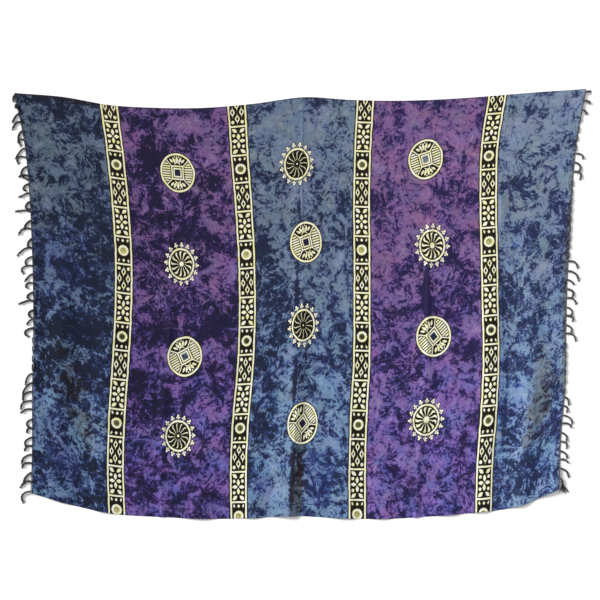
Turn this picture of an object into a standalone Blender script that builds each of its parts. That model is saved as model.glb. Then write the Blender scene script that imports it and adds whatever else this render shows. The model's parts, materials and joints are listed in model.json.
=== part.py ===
# A sarong, one length of batik cloth laid out flat with its twisted fringe at both short ends.
# Metres, +Z up. +Y is the top edge of the cloth as it is laid, +X its right-hand end.
import math
import random

import bpy
from mathutils import Vector

# Cloth
CLOTH_WIDTH = 1.630
CLOTH_HEIGHT = 1.180
WALL = 0.0015
MM = 0.001

# Where the printed bands and the middle crease run, as shares of the flat width
GUIDE_ACROSS = (0.0, 0.163, 0.390, 0.500, 0.615, 0.848, 1.0)

# How the laid cloth lies: where each guide is across the floor, in mm, for nine heights from the top
# edge to the bottom edge. The top is taut and the bottom is drawn in by its folds.
GUIDE_ROWS = (
    # left, band 1, band 2, middle, band 3, band 4, right
    (-815, -552, -190, 1, 176, 550, 798),
    (-786, -533, -181, 1, 168, 528, 773),
    (-772, -519, -169, 1, 165, 524, 759),
    (-765, -510, -161, 2, 166, 527, 752),
    (-761, -511, -159, 1, 166, 529, 744),
    (-761, -518, -164, -6, 165, 532, 741),
    (-764, -528, -177, -14, 157, 526, 738),
    (-764, -533, -184, -23, 153, 515, 727),
    (-767, -529, -183, -28, 153, 510, 722),
)

# The two long edges, in mm along +Y, at thirteen even steps from the left end to the right end
TOP_EDGE = (597, 586, 563, 555, 555, 566, 585, 578, 575, 579, 588, 599, 608)
BOTTOM_EDGE = (-535, -571, -595, -603, -608, -606, -600, -606, -608, -601, -590, -573, -524)

# Long folds, which run from the top edge to the bottom edge and grow downwards
FOLDS = (
    # share across at the top, at the bottom, starts, full height at, height mm, left flank mm, right flank mm
    (0.058, 0.050, 0.08, 0.60, 8.0, 60, 62),
    (0.137, 0.137, 0.12, 0.70, 6.0, 44, 90),
    (0.252, 0.249, 0.00, 0.40, 2.5, 15, 18),
    (0.325, 0.318, 0.50, 1.00, 7.0, 80, 66),
    (0.412, 0.418, 0.66, 1.00, 5.0, 48, 56),
    (0.499, 0.496, 0.16, 0.96, 13.0, 78, 36),
    (0.588, 0.592, 0.56, 1.00, 7.0, 62, 60),
    (0.668, 0.660, 0.70, 1.00, 5.0, 46, 48),
    (0.748, 0.722, 0.00, 0.40, 3.5, 14, 24),
    (0.795, 0.786, 0.58, 1.00, 6.0, 58, 52),
    (0.855, 0.846, 0.10, 0.60, 7.0, 56, 52),
    (0.931, 0.926, 0.08, 0.62, 8.0, 52, 58),
)

# Pressed creases that run straight across
CROSS_CREASES = (
    # share down, height mm, flank mm
    (0.262, 1.2, 14),
    (0.512, 1.2, 14),
    (0.769, 2.2, 16),
)
CREASE_UNEVEN = 0.25
CREASE_WAVES = 9.0
CREASE_PHASE = 20.0

# Stretches of the two fringed edges that stand off the floor, nearly level between their ends
EDGE_LEVEL = 1.5
EDGE_LIFTS = (
    # end, from share down, to share down, height mm, reach inwards mm
    ("left", 0.58, 0.70, 3.5, 30),
    ("right", -0.06, 0.11, 5.0, 36),
    ("right", 0.20, 0.45, 3.5, 30),
    ("right", 0.61, 0.78, 3.5, 30),
)

# Corners that curl up
CORNER_LIFTS = (
    # share across, share down, height mm, radius mm
    (0.0, 1.0, 6.0, 75),
    (1.0, 1.0, 13.0, 95),
)

# Mesh of the cloth
LONGEST_STEP = 0.0270
SHORTEST_STEP = 0.0060
ROWS_DOWN = 24

# Fringe
SEAM_GAP = 0.0003
FLOOR_GAP = 0.0002
STRIP_WIDTH = 0.0030
STRAND_PITCH = 0.0255
PITCH_WOBBLE = 0.0016
FIRST_STRAND = 0.0076
LAST_STRAND = 0.0064
STRAND_ROOT = 0.0032
ROOT_CLEAR = 0.0006
STRAND_FLOOR_GAP = 0.0003
EDGE_DIRECTION_REACH = 0.02

# A strand that lies tight along the edge turns down within this share of its length
ALONG_TURN = 0.30
ALONG_REACH = 0.0046
ALONG_DROP = 0.0165

# How much strands differ, as shares of their reach and drop
ALONG_REACH_SPREAD = (0.85, 1.15)
ALONG_DROP_SPREAD = (0.90, 1.10)
FREE_REACH_SPREAD = (0.72, 1.18)
FREE_DROP_SPREAD = (0.72, 1.12)

# How the strands lie down each end: thrown out and drooping, or tight along the edge
FRINGE_ZONES = (
    # end, to share down, lies, reach mm, drop mm
    ("left", 0.05, "free", 8, 12),
    ("left", 0.60, "free", 25, 28),
    ("left", 0.68, "along", 0, 0),
    ("left", 1.01, "free", 26, 29),
    ("right", 0.07, "free", 16, 8),
    ("right", 0.14, "along", 0, 0),
    ("right", 0.22, "free", 20, 22),
    ("right", 0.43, "along", 0, 0),
    ("right", 0.63, "free", 19, 25),
    ("right", 0.76, "along", 0, 0),
    ("right", 1.01, "free", 18, 24),
)

# Sections of one strand, from its root to its tufted tip
STRAND_SECTIONS = (
    # share along, width mm, height mm
    (0.20, 3.0, 1.9),
    (0.48, 3.2, 2.3),
    (0.74, 3.0, 2.2),
    (0.89, 4.8, 3.0),
    (1.00, 3.6, 1.3),
)

CLOTH_COLOUR = (0.115, 0.115, 0.30)
FRINGE_COLOUR = (0.035, 0.037, 0.060)


def clear_scene():
    for item in list(bpy.data.objects):
        bpy.data.objects.remove(item)


def smooth_read(places, values, place):
    """Read a table on a smooth curve through its points."""
    last = len(places) - 1
    step = 0
    while step < last - 1 and place > places[step + 1]:
        step += 1
    span = places[step + 1] - places[step]

    def slope(index):
        low = max(index - 1, 0)
        high = min(index + 1, last)
        return (values[high] - values[low]) / (places[high] - places[low])

    t = (place - places[step]) / span
    rise = values[step + 1] - values[step]
    start_slope = slope(step) * span
    end_slope = slope(step + 1) * span
    cubic = start_slope + end_slope - 2 * rise
    square = 3 * rise - 2 * start_slope - end_slope
    return values[step] + t * (start_slope + t * (square + t * cubic))


def ease(value):
    """Zero below 0, one above 1, smooth between."""
    value = min(max(value, 0.0), 1.0)
    return value * value * (3 - 2 * value)


def bump(distance, reach):
    """One at the middle, falling smoothly to exactly zero at the reach."""
    if abs(distance) >= reach:
        return 0.0
    return 0.5 * (1 + math.cos(math.pi * distance / reach))


def even_steps(count):
    return [index / (count - 1) for index in range(count)]


def plan(across, down):
    """The place on the floor of a point of the flat cloth."""
    heights = even_steps(len(GUIDE_ROWS))
    guides = []
    for column in range(len(GUIDE_ACROSS)):
        guides.append(smooth_read(heights, [row[column] for row in GUIDE_ROWS], down))
    x = smooth_read(GUIDE_ACROSS, guides, across)
    top = smooth_read(even_steps(len(TOP_EDGE)), TOP_EDGE, across)
    bottom = smooth_read(even_steps(len(BOTTOM_EDGE)), BOTTOM_EDGE, across)
    return x * MM, (top + (bottom - top) * down) * MM


def fold_lift(across, down):
    total = 0.0
    for at_top, at_bottom, starts, full_at, height, left_flank, right_flank in FOLDS:
        offset = (across - at_top - (at_bottom - at_top) * down) * CLOTH_WIDTH
        flank = (left_flank if offset < 0 else right_flank) * MM
        grown = ease((down - starts) / (full_at - starts))
        total += height * MM * grown * bump(offset, flank)
    return total


def crease_lift(across, down):
    total = 0.0
    for crease_down, height, flank in CROSS_CREASES:
        wave = math.sin(CREASE_WAVES * across + CREASE_PHASE * crease_down)
        uneven = 1 - CREASE_UNEVEN + CREASE_UNEVEN * wave
        total += height * MM * uneven * bump((down - crease_down) * CLOTH_HEIGHT, flank * MM)
    return total


def edge_lift(across, down):
    total = 0.0
    for end, from_down, to_down, height, reach in EDGE_LIFTS:
        inwards = across if end == "left" else 1 - across
        middle = (from_down + to_down) / 2
        along = min(EDGE_LEVEL * bump(down - middle, (to_down - from_down) / 2), 1.0)
        total += height * MM * along * bump(inwards * CLOTH_WIDTH, reach * MM)
    for corner_across, corner_down, height, radius in CORNER_LIFTS:
        away = math.hypot((across - corner_across) * CLOTH_WIDTH, (down - corner_down) * CLOTH_HEIGHT)
        total += height * MM * bump(away, radius * MM)
    return total


def lift(across, down):
    """How far the underside of the cloth stands off the floor."""
    return fold_lift(across, down) + crease_lift(across, down) + edge_lift(across, down)


def cloth_columns():
    """Column lines that follow each fold's crest and feet, as shares across at the top and the bottom."""
    lines = [(0.0, 0.0), (1.0, 1.0)]
    for at_top, at_bottom, _, _, _, left_flank, right_flank in FOLDS:
        for offset in (-left_flank, -left_flank / 2, 0, right_flank / 2, right_flank):
            share = offset * MM / CLOTH_WIDTH
            if 0 < at_bottom + share < 1:
                lines.append((at_top + share, at_bottom + share))
    for _, _, _, _, reach in EDGE_LIFTS:
        share = reach * MM / CLOTH_WIDTH
        lines.append((share / 2, share / 2))
        lines.append((1 - share / 2, 1 - share / 2))
    lines.sort(key=lambda line: line[0] + line[1])
    kept = [lines[0]]
    for line in lines[1:-1]:
        nearest = min(line[0] - kept[-1][0], line[1] - kept[-1][1])
        if nearest * CLOTH_WIDTH >= SHORTEST_STEP and (1 - line[1]) * CLOTH_WIDTH >= SHORTEST_STEP:
            kept.append(line)
    kept.append(lines[-1])
    columns = [kept[0]]
    for low, high in zip(kept, kept[1:]):
        width = max(high[0] - low[0], high[1] - low[1]) * CLOTH_WIDTH
        pieces = max(1, math.ceil(width / LONGEST_STEP))
        for piece in range(1, pieces + 1):
            share = piece / pieces
            columns.append((low[0] + (high[0] - low[0]) * share, low[1] + (high[1] - low[1]) * share))
    return columns


def cloth_rows():
    """Shares down for the rows of the cloth, with rows on each pressed crease and its feet."""
    rows = set(even_steps(ROWS_DOWN + 1))
    for crease_down, _, flank in CROSS_CREASES:
        share = flank * MM / CLOTH_HEIGHT
        near = [row for row in rows if 0 < abs(row - crease_down) < 1.6 * share and 0 < row < 1]
        rows.difference_update(near)
        rows.update((crease_down - share, crease_down, crease_down + share))
    return sorted(rows)


def new_object(name, vertices, faces, colour):
    mesh = bpy.data.meshes.new(name)
    mesh.from_pydata(vertices, [], faces)
    mesh.validate()
    mesh.shade_smooth()
    mesh.set_sharp_from_angle(angle=math.radians(40))
    material = bpy.data.materials.new(name)
    material.use_nodes = True
    shader = material.node_tree.nodes["Principled BSDF"]
    shader.inputs["Base Color"].default_value = (*colour, 1.0)
    shader.inputs["Roughness"].default_value = 0.85
    shader.inputs["Metallic"].default_value = 0.0
    mesh.materials.append(material)
    piece = bpy.data.objects.new(name, mesh)
    bpy.context.scene.collection.objects.link(piece)
    return piece


def make_cloth():
    """The cloth as a closed wall: its underside, its top side above it and a rim round the edge."""
    columns = cloth_columns()
    rows = cloth_rows()
    width = len(columns)
    under = []
    for down in rows:
        for at_top, at_bottom in columns:
            across = at_top + (at_bottom - at_top) * down
            x, y = plan(across, down)
            under.append((x, y, lift(across, down)))
    over = [(x, y, z + WALL) for x, y, z in under]
    count = len(under)
    faces = []
    for row in range(len(rows) - 1):
        for column in range(width - 1):
            a = row * width + column
            b = a + 1
            c = b + width
            d = a + width
            faces.append((a, b, c))
            faces.append((a, c, d))
            faces.append((count + a, count + c, count + b))
            faces.append((count + a, count + d, count + c))
    rim = list(range(width))
    rim += [row * width + width - 1 for row in range(1, len(rows))]
    rim += [(len(rows) - 1) * width + column for column in range(width - 2, -1, -1)]
    rim += [row * width for row in range(len(rows) - 2, 0, -1)]
    for a, b in zip(rim, rim[1:] + rim[:1]):
        faces.append((b, a, count + a))
        faces.append((b, count + a, count + b))
    return new_object("cloth", under + over, faces, CLOTH_COLOUR)


def end_edge(end):
    """The points down one short edge of the cloth, with their shares down."""
    across = 0.0 if end == "left" else 1.0
    points = []
    for down in cloth_rows():
        x, y = plan(across, down)
        points.append((down, Vector((x, y, lift(across, down)))))
    return points


def edge_reader(end):
    """Functions that give the place, and the outward and downward directions, at a length along the edge."""
    points = end_edge(end)
    side = -1 if end == "left" else 1
    lengths = [0.0]
    for (_, low), (_, high) in zip(points, points[1:]):
        lengths.append(lengths[-1] + (high.xy - low.xy).length)

    def place(length):
        step = 0
        while step < len(points) - 2 and length > lengths[step + 1]:
            step += 1
        share = (length - lengths[step]) / (lengths[step + 1] - lengths[step])
        low = points[step][1]
        high = points[step + 1][1]
        share_down = points[step][0] + (points[step + 1][0] - points[step][0]) * share
        return low.lerp(high, share), share_down

    def directions(length):
        before = place(max(length - EDGE_DIRECTION_REACH, 0.0))[0]
        after = place(min(length + EDGE_DIRECTION_REACH, lengths[-1]))[0]
        downward = (after - before).xy.normalized()
        outward = Vector((-downward.y, downward.x))
        if outward.x * side < 0:
            outward.negate()
        return outward, downward

    return place, directions, lengths


def strand_path(zone, choice, outward, downward):
    """The plan offsets of a strand's sections from its root, and the direction at each."""
    _, _, lies, reach, drop = zone
    if lies == "along":
        out_by = ALONG_REACH * choice.uniform(*ALONG_REACH_SPREAD)
        down_by = ALONG_DROP * choice.uniform(*ALONG_DROP_SPREAD)
        turn_by = ALONG_TURN
    else:
        out_by = reach * MM * choice.uniform(*FREE_REACH_SPREAD)
        down_by = drop * MM * choice.uniform(*FREE_DROP_SPREAD)
        turn_by = 1.0
    path = []
    for along, width, height in STRAND_SECTIONS:
        turn = min(along / turn_by, 1.0) * math.pi / 2
        swing = along * math.pi / 2
        offset = outward * (out_by * math.sin(turn)) + downward * (down_by * (1 - math.cos(swing)))
        ahead = outward * (out_by * math.cos(turn)) + downward * (down_by * math.sin(swing))
        path.append((along, offset, ahead.normalized(), width * MM, height * MM))
    return path


def strand_starts(lengths, choice):
    """Where each strand leaves the strip, clear of the strip's bends."""
    starts = []
    half = STRAND_ROOT / 2 + ROOT_CLEAR
    length = FIRST_STRAND
    while length < lengths[-1] - LAST_STRAND:
        start = length + choice.uniform(-PITCH_WOBBLE, PITCH_WOBBLE)
        for bend in lengths:
            if abs(start - bend) < half:
                start = bend + (half if start >= bend else -half)
        starts.append(start)
        length += STRAND_PITCH
    return starts


def make_fringe(end, seed):
    """A narrow strip along the edge with the strands drawn out of its outer face, as one closed body."""
    choice = random.Random(seed)
    place, directions, lengths = edge_reader(end)
    zones = [zone for zone in FRINGE_ZONES if zone[0] == end]
    starts = strand_starts(lengths, choice)
    cuts = list(lengths)
    for start in starts:
        cuts += [start - STRAND_ROOT / 2, start + STRAND_ROOT / 2]
    cuts.sort()
    vertices = []
    for cut in cuts:
        point, _ = place(cut)
        outward, _ = directions(cut)
        low = point.z + FLOOR_GAP
        for out_by, z in ((SEAM_GAP, low), (SEAM_GAP + STRIP_WIDTH, low),
                          (SEAM_GAP + STRIP_WIDTH, low + WALL), (SEAM_GAP, low + WALL)):
            spot = point.xy + outward * out_by
            vertices.append((spot.x, spot.y, z))
    faces = [(0, 1, 2, 3)]
    last = 4 * (len(cuts) - 1)
    faces.append((last + 3, last + 2, last + 1, last))
    roots = {}
    for start in starts:
        roots[cuts.index(start - STRAND_ROOT / 2)] = start
    for index in range(len(cuts) - 1):
        a = 4 * index
        b = a + 4
        for edge in range(4):
            if edge == 1 and index in roots:
                continue
            after = (edge + 1) % 4
            faces.append((a + edge, b + edge, b + after, a + after))
    for index, start in roots.items():
        ring = [4 * index + 1, 4 * index + 5, 4 * index + 6, 4 * index + 2]
        point, share_down = place(start)
        outward, downward = directions(start)
        root = point.xy + outward * (SEAM_GAP + STRIP_WIDTH)
        zone = next(item for item in zones if share_down <= item[1])
        turn = outward.x * downward.y - outward.y * downward.x
        for along, offset, ahead, width, height in strand_path(zone, choice, outward, downward):
            across = Vector((-ahead.y, ahead.x)) * turn
            middle = root + offset
            low = point.z * (1 - along) ** 2 + STRAND_FLOOR_GAP
            first = len(vertices)
            for side, z in ((-0.5, low), (0.5, low), (0.5, low + height), (-0.5, low + height)):
                spot = middle + across * (side * width)
                vertices.append((spot.x, spot.y, z))
            grown = [first, first + 1, first + 2, first + 3]
            for edge in range(4):
                after = (edge + 1) % 4
                faces.append((ring[edge], ring[after], grown[after], grown[edge]))
            ring = grown
        faces.append(tuple(ring))
    if end == "right":
        faces = [tuple(reversed(face)) for face in faces]
    triangles = []
    for face in faces:
        triangles.append((face[0], face[1], face[2]))
        triangles.append((face[0], face[2], face[3]))
    return new_object("fringe_" + end, vertices, triangles, FRINGE_COLOUR)


def centre(pieces):
    """Move the meshes so that the origin is under the middle of the whole, on the floor."""
    spots = [vertex.co for piece in pieces for vertex in piece.data.vertices]
    shift = Vector((
        (min(spot.x for spot in spots) + max(spot.x for spot in spots)) / 2,
        (min(spot.y for spot in spots) + max(spot.y for spot in spots)) / 2,
        min(spot.z for spot in spots),
    ))
    for piece in pieces:
        for vertex in piece.data.vertices:
            vertex.co -= shift


def main():
    clear_scene()
    pieces = [make_cloth(), make_fringe("left", 11), make_fringe("right", 23)]
    centre(pieces)


main()
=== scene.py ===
import json
import math
import random

import bpy
import numpy as np
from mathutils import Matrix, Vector

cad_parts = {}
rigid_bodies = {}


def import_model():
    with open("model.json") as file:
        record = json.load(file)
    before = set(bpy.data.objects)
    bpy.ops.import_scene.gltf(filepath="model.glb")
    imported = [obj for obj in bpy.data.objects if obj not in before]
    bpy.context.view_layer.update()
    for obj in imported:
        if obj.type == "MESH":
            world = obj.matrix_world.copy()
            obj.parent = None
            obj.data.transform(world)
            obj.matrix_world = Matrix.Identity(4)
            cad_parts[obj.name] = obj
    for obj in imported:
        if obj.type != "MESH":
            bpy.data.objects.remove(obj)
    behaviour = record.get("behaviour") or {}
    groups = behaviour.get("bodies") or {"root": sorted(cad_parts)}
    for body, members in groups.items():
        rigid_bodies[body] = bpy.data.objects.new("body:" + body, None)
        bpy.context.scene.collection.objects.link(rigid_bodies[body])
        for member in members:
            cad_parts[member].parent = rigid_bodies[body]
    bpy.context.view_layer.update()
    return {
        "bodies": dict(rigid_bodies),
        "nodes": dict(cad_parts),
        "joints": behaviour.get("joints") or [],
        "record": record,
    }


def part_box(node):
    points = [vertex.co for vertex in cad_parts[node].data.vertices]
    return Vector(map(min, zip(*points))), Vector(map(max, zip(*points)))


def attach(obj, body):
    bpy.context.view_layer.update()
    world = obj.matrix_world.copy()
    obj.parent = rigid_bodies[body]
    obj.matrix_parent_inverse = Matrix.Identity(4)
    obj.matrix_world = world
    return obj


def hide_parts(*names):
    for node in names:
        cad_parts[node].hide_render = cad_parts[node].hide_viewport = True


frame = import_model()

# A fringed batik sarong, laid out flat and seen from straight above.
# Lengths are in metres where they say nothing else. "across" and "down" are shares of the flat cloth,
# from its left end and from its top edge, and the print is drawn in millimetres of the flat cloth.


MM = 0.001
CLOTH_WIDTH = 1.630
CLOTH_HEIGHT = 1.180
SHEET_THICKNESS = 0.0006

# The laid form, as in the part's source
GUIDE_ACROSS = (0.0, 0.163, 0.390, 0.500, 0.615, 0.848, 1.0)
GUIDE_ROWS = (
    # left, band 1, band 2, middle, band 3, band 4, right
    (-815, -552, -190, 1, 176, 550, 798),
    (-786, -533, -181, 1, 168, 528, 773),
    (-772, -519, -169, 1, 165, 524, 759),
    (-765, -510, -161, 2, 166, 527, 752),
    (-761, -511, -159, 1, 166, 529, 744),
    (-761, -518, -164, -6, 165, 532, 741),
    (-764, -528, -177, -14, 157, 526, 738),
    (-764, -533, -184, -23, 153, 515, 727),
    (-767, -529, -183, -28, 153, 510, 722),
)
TOP_EDGE = (597, 586, 563, 555, 555, 566, 585, 578, 575, 579, 588, 599, 608)
BOTTOM_EDGE = (-535, -571, -595, -603, -608, -606, -600, -606, -608, -601, -590, -573, -524)
FOLDS = (
    # share across at the top and at the bottom, starts, full height at, height mm, left and right flank mm
    (0.058, 0.050, 0.08, 0.60, 8.0, 60, 62),
    (0.137, 0.137, 0.12, 0.70, 6.0, 44, 90),
    (0.252, 0.249, 0.00, 0.40, 2.5, 15, 18),
    (0.325, 0.318, 0.50, 1.00, 7.0, 80, 66),
    (0.412, 0.418, 0.66, 1.00, 5.0, 48, 56),
    (0.499, 0.496, 0.16, 0.96, 13.0, 78, 36),
    (0.588, 0.592, 0.56, 1.00, 7.0, 62, 60),
    (0.668, 0.660, 0.70, 1.00, 5.0, 46, 48),
    (0.748, 0.722, 0.00, 0.40, 3.5, 14, 24),
    (0.795, 0.786, 0.58, 1.00, 6.0, 58, 52),
    (0.855, 0.846, 0.10, 0.60, 7.0, 56, 52),
    (0.931, 0.926, 0.08, 0.62, 8.0, 52, 58),
)
CROSS_CREASES = (
    # share down, height mm, flank mm
    (0.262, 1.2, 14),
    (0.512, 1.2, 14),
    (0.769, 2.2, 16),
)
CREASE_UNEVEN = 0.25
CREASE_WAVES = 9.0
CREASE_PHASE = 20.0
EDGE_LEVEL = 1.5
EDGE_LIFTS = (
    # end, from share down, to share down, height mm, reach inwards mm
    ("left", 0.58, 0.70, 3.5, 30),
    ("right", -0.06, 0.11, 5.0, 36),
    ("right", 0.20, 0.45, 3.5, 30),
    ("right", 0.61, 0.78, 3.5, 30),
)
CORNER_LIFTS = (
    # share across, share down, height mm, radius mm
    (0.0, 1.0, 6.0, 75),
    (1.0, 1.0, 13.0, 95),
)

# Fine relief that only the looks have: sharp pressed lines, where the cloth was folded in eighths
PRESSED_DOWN = (
    # share across at the top, at the bottom, height mm, flank mm
    (0.126, 0.124, 1.0, 3.2),
    (0.2515, 0.2485, 1.5, 3.0),
    (0.375, 0.373, 1.0, 3.2),
    (0.4985, 0.4960, 2.3, 3.0),
    (0.624, 0.622, 1.0, 3.2),
    (0.747, 0.722, 1.8, 3.2),
    (0.872, 0.870, 1.3, 3.2),
)
PRESSED_ACROSS = (
    # share down, height mm, flank mm
    (0.262, 1.0, 3.5),
    (0.512, 1.0, 3.5),
    (0.769, 1.7, 3.5),
)
# How a pressed line's strength and wander change along it: base, swing, waves, and phase by its place
PRESSED_DOWN_UNEVEN = (0.62, 0.38, 11, 37)
PRESSED_ACROSS_UNEVEN = (0.60, 0.40, 13, 31)
PRESSED_WANDER = (0.0, 0.0016, 17, 9)
PRESSED_SHARPNESS = 1.2

# Soft ripples, elongated down the cloth: share across, share down, length mm, width mm, lean, height mm
RIPPLES = (
    (0.03, 0.30, 240, 26, 0.05, 1.6),
    (0.09, 0.12, 180, 30, 0.30, 1.3),
    (0.20, 0.10, 170, 34, 0.42, 1.2),
    (0.19, 0.62, 300, 28, -0.03, 1.7),
    (0.30, 0.30, 220, 32, 0.10, 1.2),
    (0.36, 0.74, 260, 26, -0.05, 1.8),
    (0.45, 0.22, 200, 30, -0.28, 1.3),
    (0.455, 0.80, 230, 22, 0.02, 1.9),
    (0.56, 0.20, 190, 30, 0.26, 1.2),
    (0.54, 0.78, 250, 22, 0.03, 1.8),
    (0.64, 0.42, 260, 30, 0.02, 1.2),
    (0.70, 0.78, 260, 26, 0.05, 1.7),
    (0.77, 0.26, 240, 28, -0.10, 1.3),
    (0.81, 0.10, 170, 30, -0.40, 1.3),
    (0.90, 0.12, 190, 26, -0.32, 1.5),
    (0.955, 0.40, 260, 24, -0.04, 1.6),
    (0.965, 0.72, 240, 22, -0.04, 1.6),
    (0.895, 0.80, 240, 18, -0.02, 1.5),
)
RIPPLE_END = 1.6
PUCKER_REACH = 0.011
PUCKER_HEIGHT = 0.0009

# Grid of the visible sheet. A crowding is how far it reaches from a line, as a share, and how much is added.
SHEET_COLUMNS = 336
SHEET_ROWS = 140
ROW_CROWDING = (0.007, 3.0)
COLUMN_CROWDING = (0.0042, 5.0)
GRADING_STEPS = 3001
# Points at which the low edge is read to centre the whole
BOTTOM_READS = 481

# The print: four bands of three repeating cells, in mm of the flat cloth
BANDS = (
    # share across, first cell's top, first repeat, growth of each repeat
    (0.1646, 48.1, 247.0, 0.8),
    (0.3910, 59.8, 242.8, 2.6),
    (0.6154, 62.1, 238.5, 4.0),
    (0.848, 51.4, 239.5, 7.0),
)
BAND_REPEAT = 247.0
BAND_NEAR = 60.0
FAR_OFF = 1e9

MEDALLIONS = (
    # kind, across mm, down mm, half width mm, half height mm, lean in degrees, spoke weight
    ("coin", 450, 186, 51.0, 56.5, -3, 0.0),
    ("sun", 441, 449, 37.5, 45.0, 8, 0.85),
    ("coin", 456, 715, 50.5, 57.5, 28, 0.0),
    ("sun", 454, 944, 37.0, 45.0, 15, -0.2),
    ("sun", 796, 187, 36.5, 44.5, 0, -0.6),
    ("coin", 823, 408, 50.5, 57.5, 15, 0.0),
    ("sun", 817, 642, 36.5, 45.5, 20, -0.65),
    ("coin", 831, 918, 47.0, 59.0, 42, 0.0),
    ("coin", 1194, 168, 51.5, 56.5, 16, 0.0),
    ("sun", 1213, 413, 37.5, 45.5, 6, 1.0),
    ("coin", 1213, 670, 50.5, 57.5, 38, 0.0),
    ("sun", 1199, 905, 38.0, 44.5, 12, 1.5),
)
MEDALLION_RADIUS = {"coin": 52.0, "sun": 39.0}
MEDALLION_NEAR = 76.0

# Where the dye took more or less than around it, and painted light and shade: narrow lines along the folds
# and pressed lines, and the top edge at the left under the hem. A minus is darker.
DYE_TONES_AND_PAINTED_SHADING = (
    # across mm, down mm, half width mm, half height mm, amount
    (100, 45, 120, 70, -0.10),
    # The next two spots darken the top edge at the left: painted shade of the hem
    (215, 8, 60, 12, -0.26),
    (62, 12, 40, 13, -0.18),
    (376, 150, 58, 105, -0.21),
    (200, 490, 75, 170, -0.15),
    (350, 480, 70, 80, -0.13),
    (430, 345, 90, 90, -0.08),
    (570, 600, 120, 90, -0.11),
    (815, 640, 60, 60, -0.09),
    (395, 640, 90, 46, -0.11),
    (55, 650, 80, 110, -0.07),
    (60, 765, 60, 66, -0.12),
    (210, 660, 70, 90, -0.10),
    (340, 870, 60, 90, -0.14),
    (430, 850, 70, 80, -0.09),
    (690, 930, 70, 110, -0.11),
    (42, 1080, 55, 60, -0.16),
    (194, 1085, 50, 50, -0.13),
    (40, 925, 40, 60, 0.16),
    (1320, 1110, 140, 60, -0.09),
    (1540, 1115, 60, 50, -0.10),
    (1450, 1080, 50, 50, 0.07),
    (1555, 260, 60, 70, -0.06),
    (690, 470, 70, 100, -0.09),
    (660, 770, 60, 70, -0.07),
    (800, 80, 140, 100, 0.07),
    (915, 110, 80, 110, 0.04),
    (800, 270, 60, 50, 0.08),
    (1050, 150, 70, 100, 0.10),
    (1130, 300, 70, 90, 0.10),
    (1200, 70, 80, 60, 0.08),
    (1215, 345, 60, 60, 0.08),
    (1330, 270, 60, 60, 0.06),
    (1495, 110, 90, 90, 0.08),
    (1500, 195, 60, 50, 0.08),
    (530, 100, 80, 90, 0.06),
    (1530, 640, 50, 60, 0.07),
    (1040, 800, 45, 60, 0.12),
    (1060, 1070, 60, 60, 0.12),
    (890, 850, 60, 60, 0.07),
    (770, 1100, 60, 90, 0.13),
    # Painted light and shade of the folds and pressed lines: dark lines along the creases, a darker right
    # flank and a lighter left flank of the middle fold, and a pale streak on a fold near the right end
    (1407, 330, 16, 40, 0.45),
    (807, 1085, 7, 125, -0.34),
    (826, 1080, 22, 120, -0.05),
    (794, 1085, 12, 120, 0.10),
    (800, 800, 6, 60, -0.40),
    (794, 560, 5, 75, -0.30),
    (803, 300, 5, 60, -0.16),
    (785, 800, 12, 50, 0.10),
    (1436, 860, 5, 170, -0.11),
    (1195, 543, 8, 62, -0.46),
    (1217, 784, 6, 40, -0.15),
    (379, 889, 5, 50, -0.18),
    (432, 1120, 5, 80, -0.08),
    # the open middles of four coins
    (450, 186, 13, 13, -0.60),
    (823, 408, 13, 13, -0.60),
    (831, 918, 13, 13, -0.60),
    (1213, 670, 13, 13, -0.60),
)

# Where the blue dye is greyer, a minus, or a stronger blue, and painted shade and light along some folds and
# the top edge
DYE_TURNS_AND_PAINTED_SHADING = (
    # across mm, down mm, half width mm, half height mm, amount
    (124, 858, 48, 95, -0.6),
    (165, 975, 42, 60, -0.6),
    (80, 720, 50, 70, -0.4),
    (80, 480, 100, 170, 0.55),
    # This row greys the top edge at the left: painted shade of the hem
    (150, 8, 150, 12, -0.6),
    # Painted shade and light along the middle fold and a fold near the right end, as greyer and stronger blue
    # on their flanks
    (827, 1080, 22, 130, -1.2),
    (1440, 310, 22, 32, -0.5),
    (1454, 860, 9, 150, -0.4),
    (1418, 860, 9, 150, 0.9),
    (1566, 800, 44, 80, -0.55),
    (1545, 910, 44, 80, -0.75),
    (1508, 1000, 44, 65, -0.65),
    (1626, 560, 9, 420, -0.8),
    (100, 1060, 70, 85, 0.9),
    (60, 960, 30, 50, 0.6),
    (725, 1085, 42, 70, 0.8),
    (880, 1085, 50, 110, 1.0),
    (1475, 900, 34, 115, 0.6),
    (1480, 420, 80, 60, 0.3),
    (1545, 1070, 40, 50, 0.7),
    (456, 715, 13, 13, -1.0),
    (1194, 168, 13, 13, -1.0),
)

# Drawing of a band: where its cells end down the repeat, and shapes from the middle of a cell, in mm
FLOWER_END = 84.7
SUN_END = 163.7
FLOWER_SHAPES = (
    # kind, middle, half size, turned by degrees
    ("leaf", (10.4, 0), (8.4, 5.6), 0),
    ("leaf", (0, 12.2), (5.0, 9.6), 0),
    ("oval", (12.9, 16.2), (4.3, 4.9), 0),
    ("leaf", (10.8, 30.6), (9.2, 5.4), 42),
)
SUN_LEAVES = (
    ("leaf", (0, 28.2), (4.2, 4.8), 0),
    ("leaf", (14.0, 29.0), (2.9, 5.6), -18),
)
VINE_EYES = (
    ("leaf", (0, 19.6), (6.9, 10.8), 0),
    ("rhomb", (0, 19.6), (3.1, 17.2), 0),
    ("leaf", (12.4, 0), (6.7, 10.8), 0),
    ("rhomb", (12.4, 0), (3.1, 18.0), 0),
)
VINE_PUPILS = (
    ("leaf", (0, 19.6), (2.8, 5.6), 0),
    ("leaf", (12.4, 0), (2.7, 5.6), 0),
)
VINE_DROPS = (
    ("oval", (13.4, 28.9), (4.6, 5.2), 0),
)
SCALLOPS = 15.0
SCALLOP_DEPTH = 0.9
BAND_SUN_RING = 12.3
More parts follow.
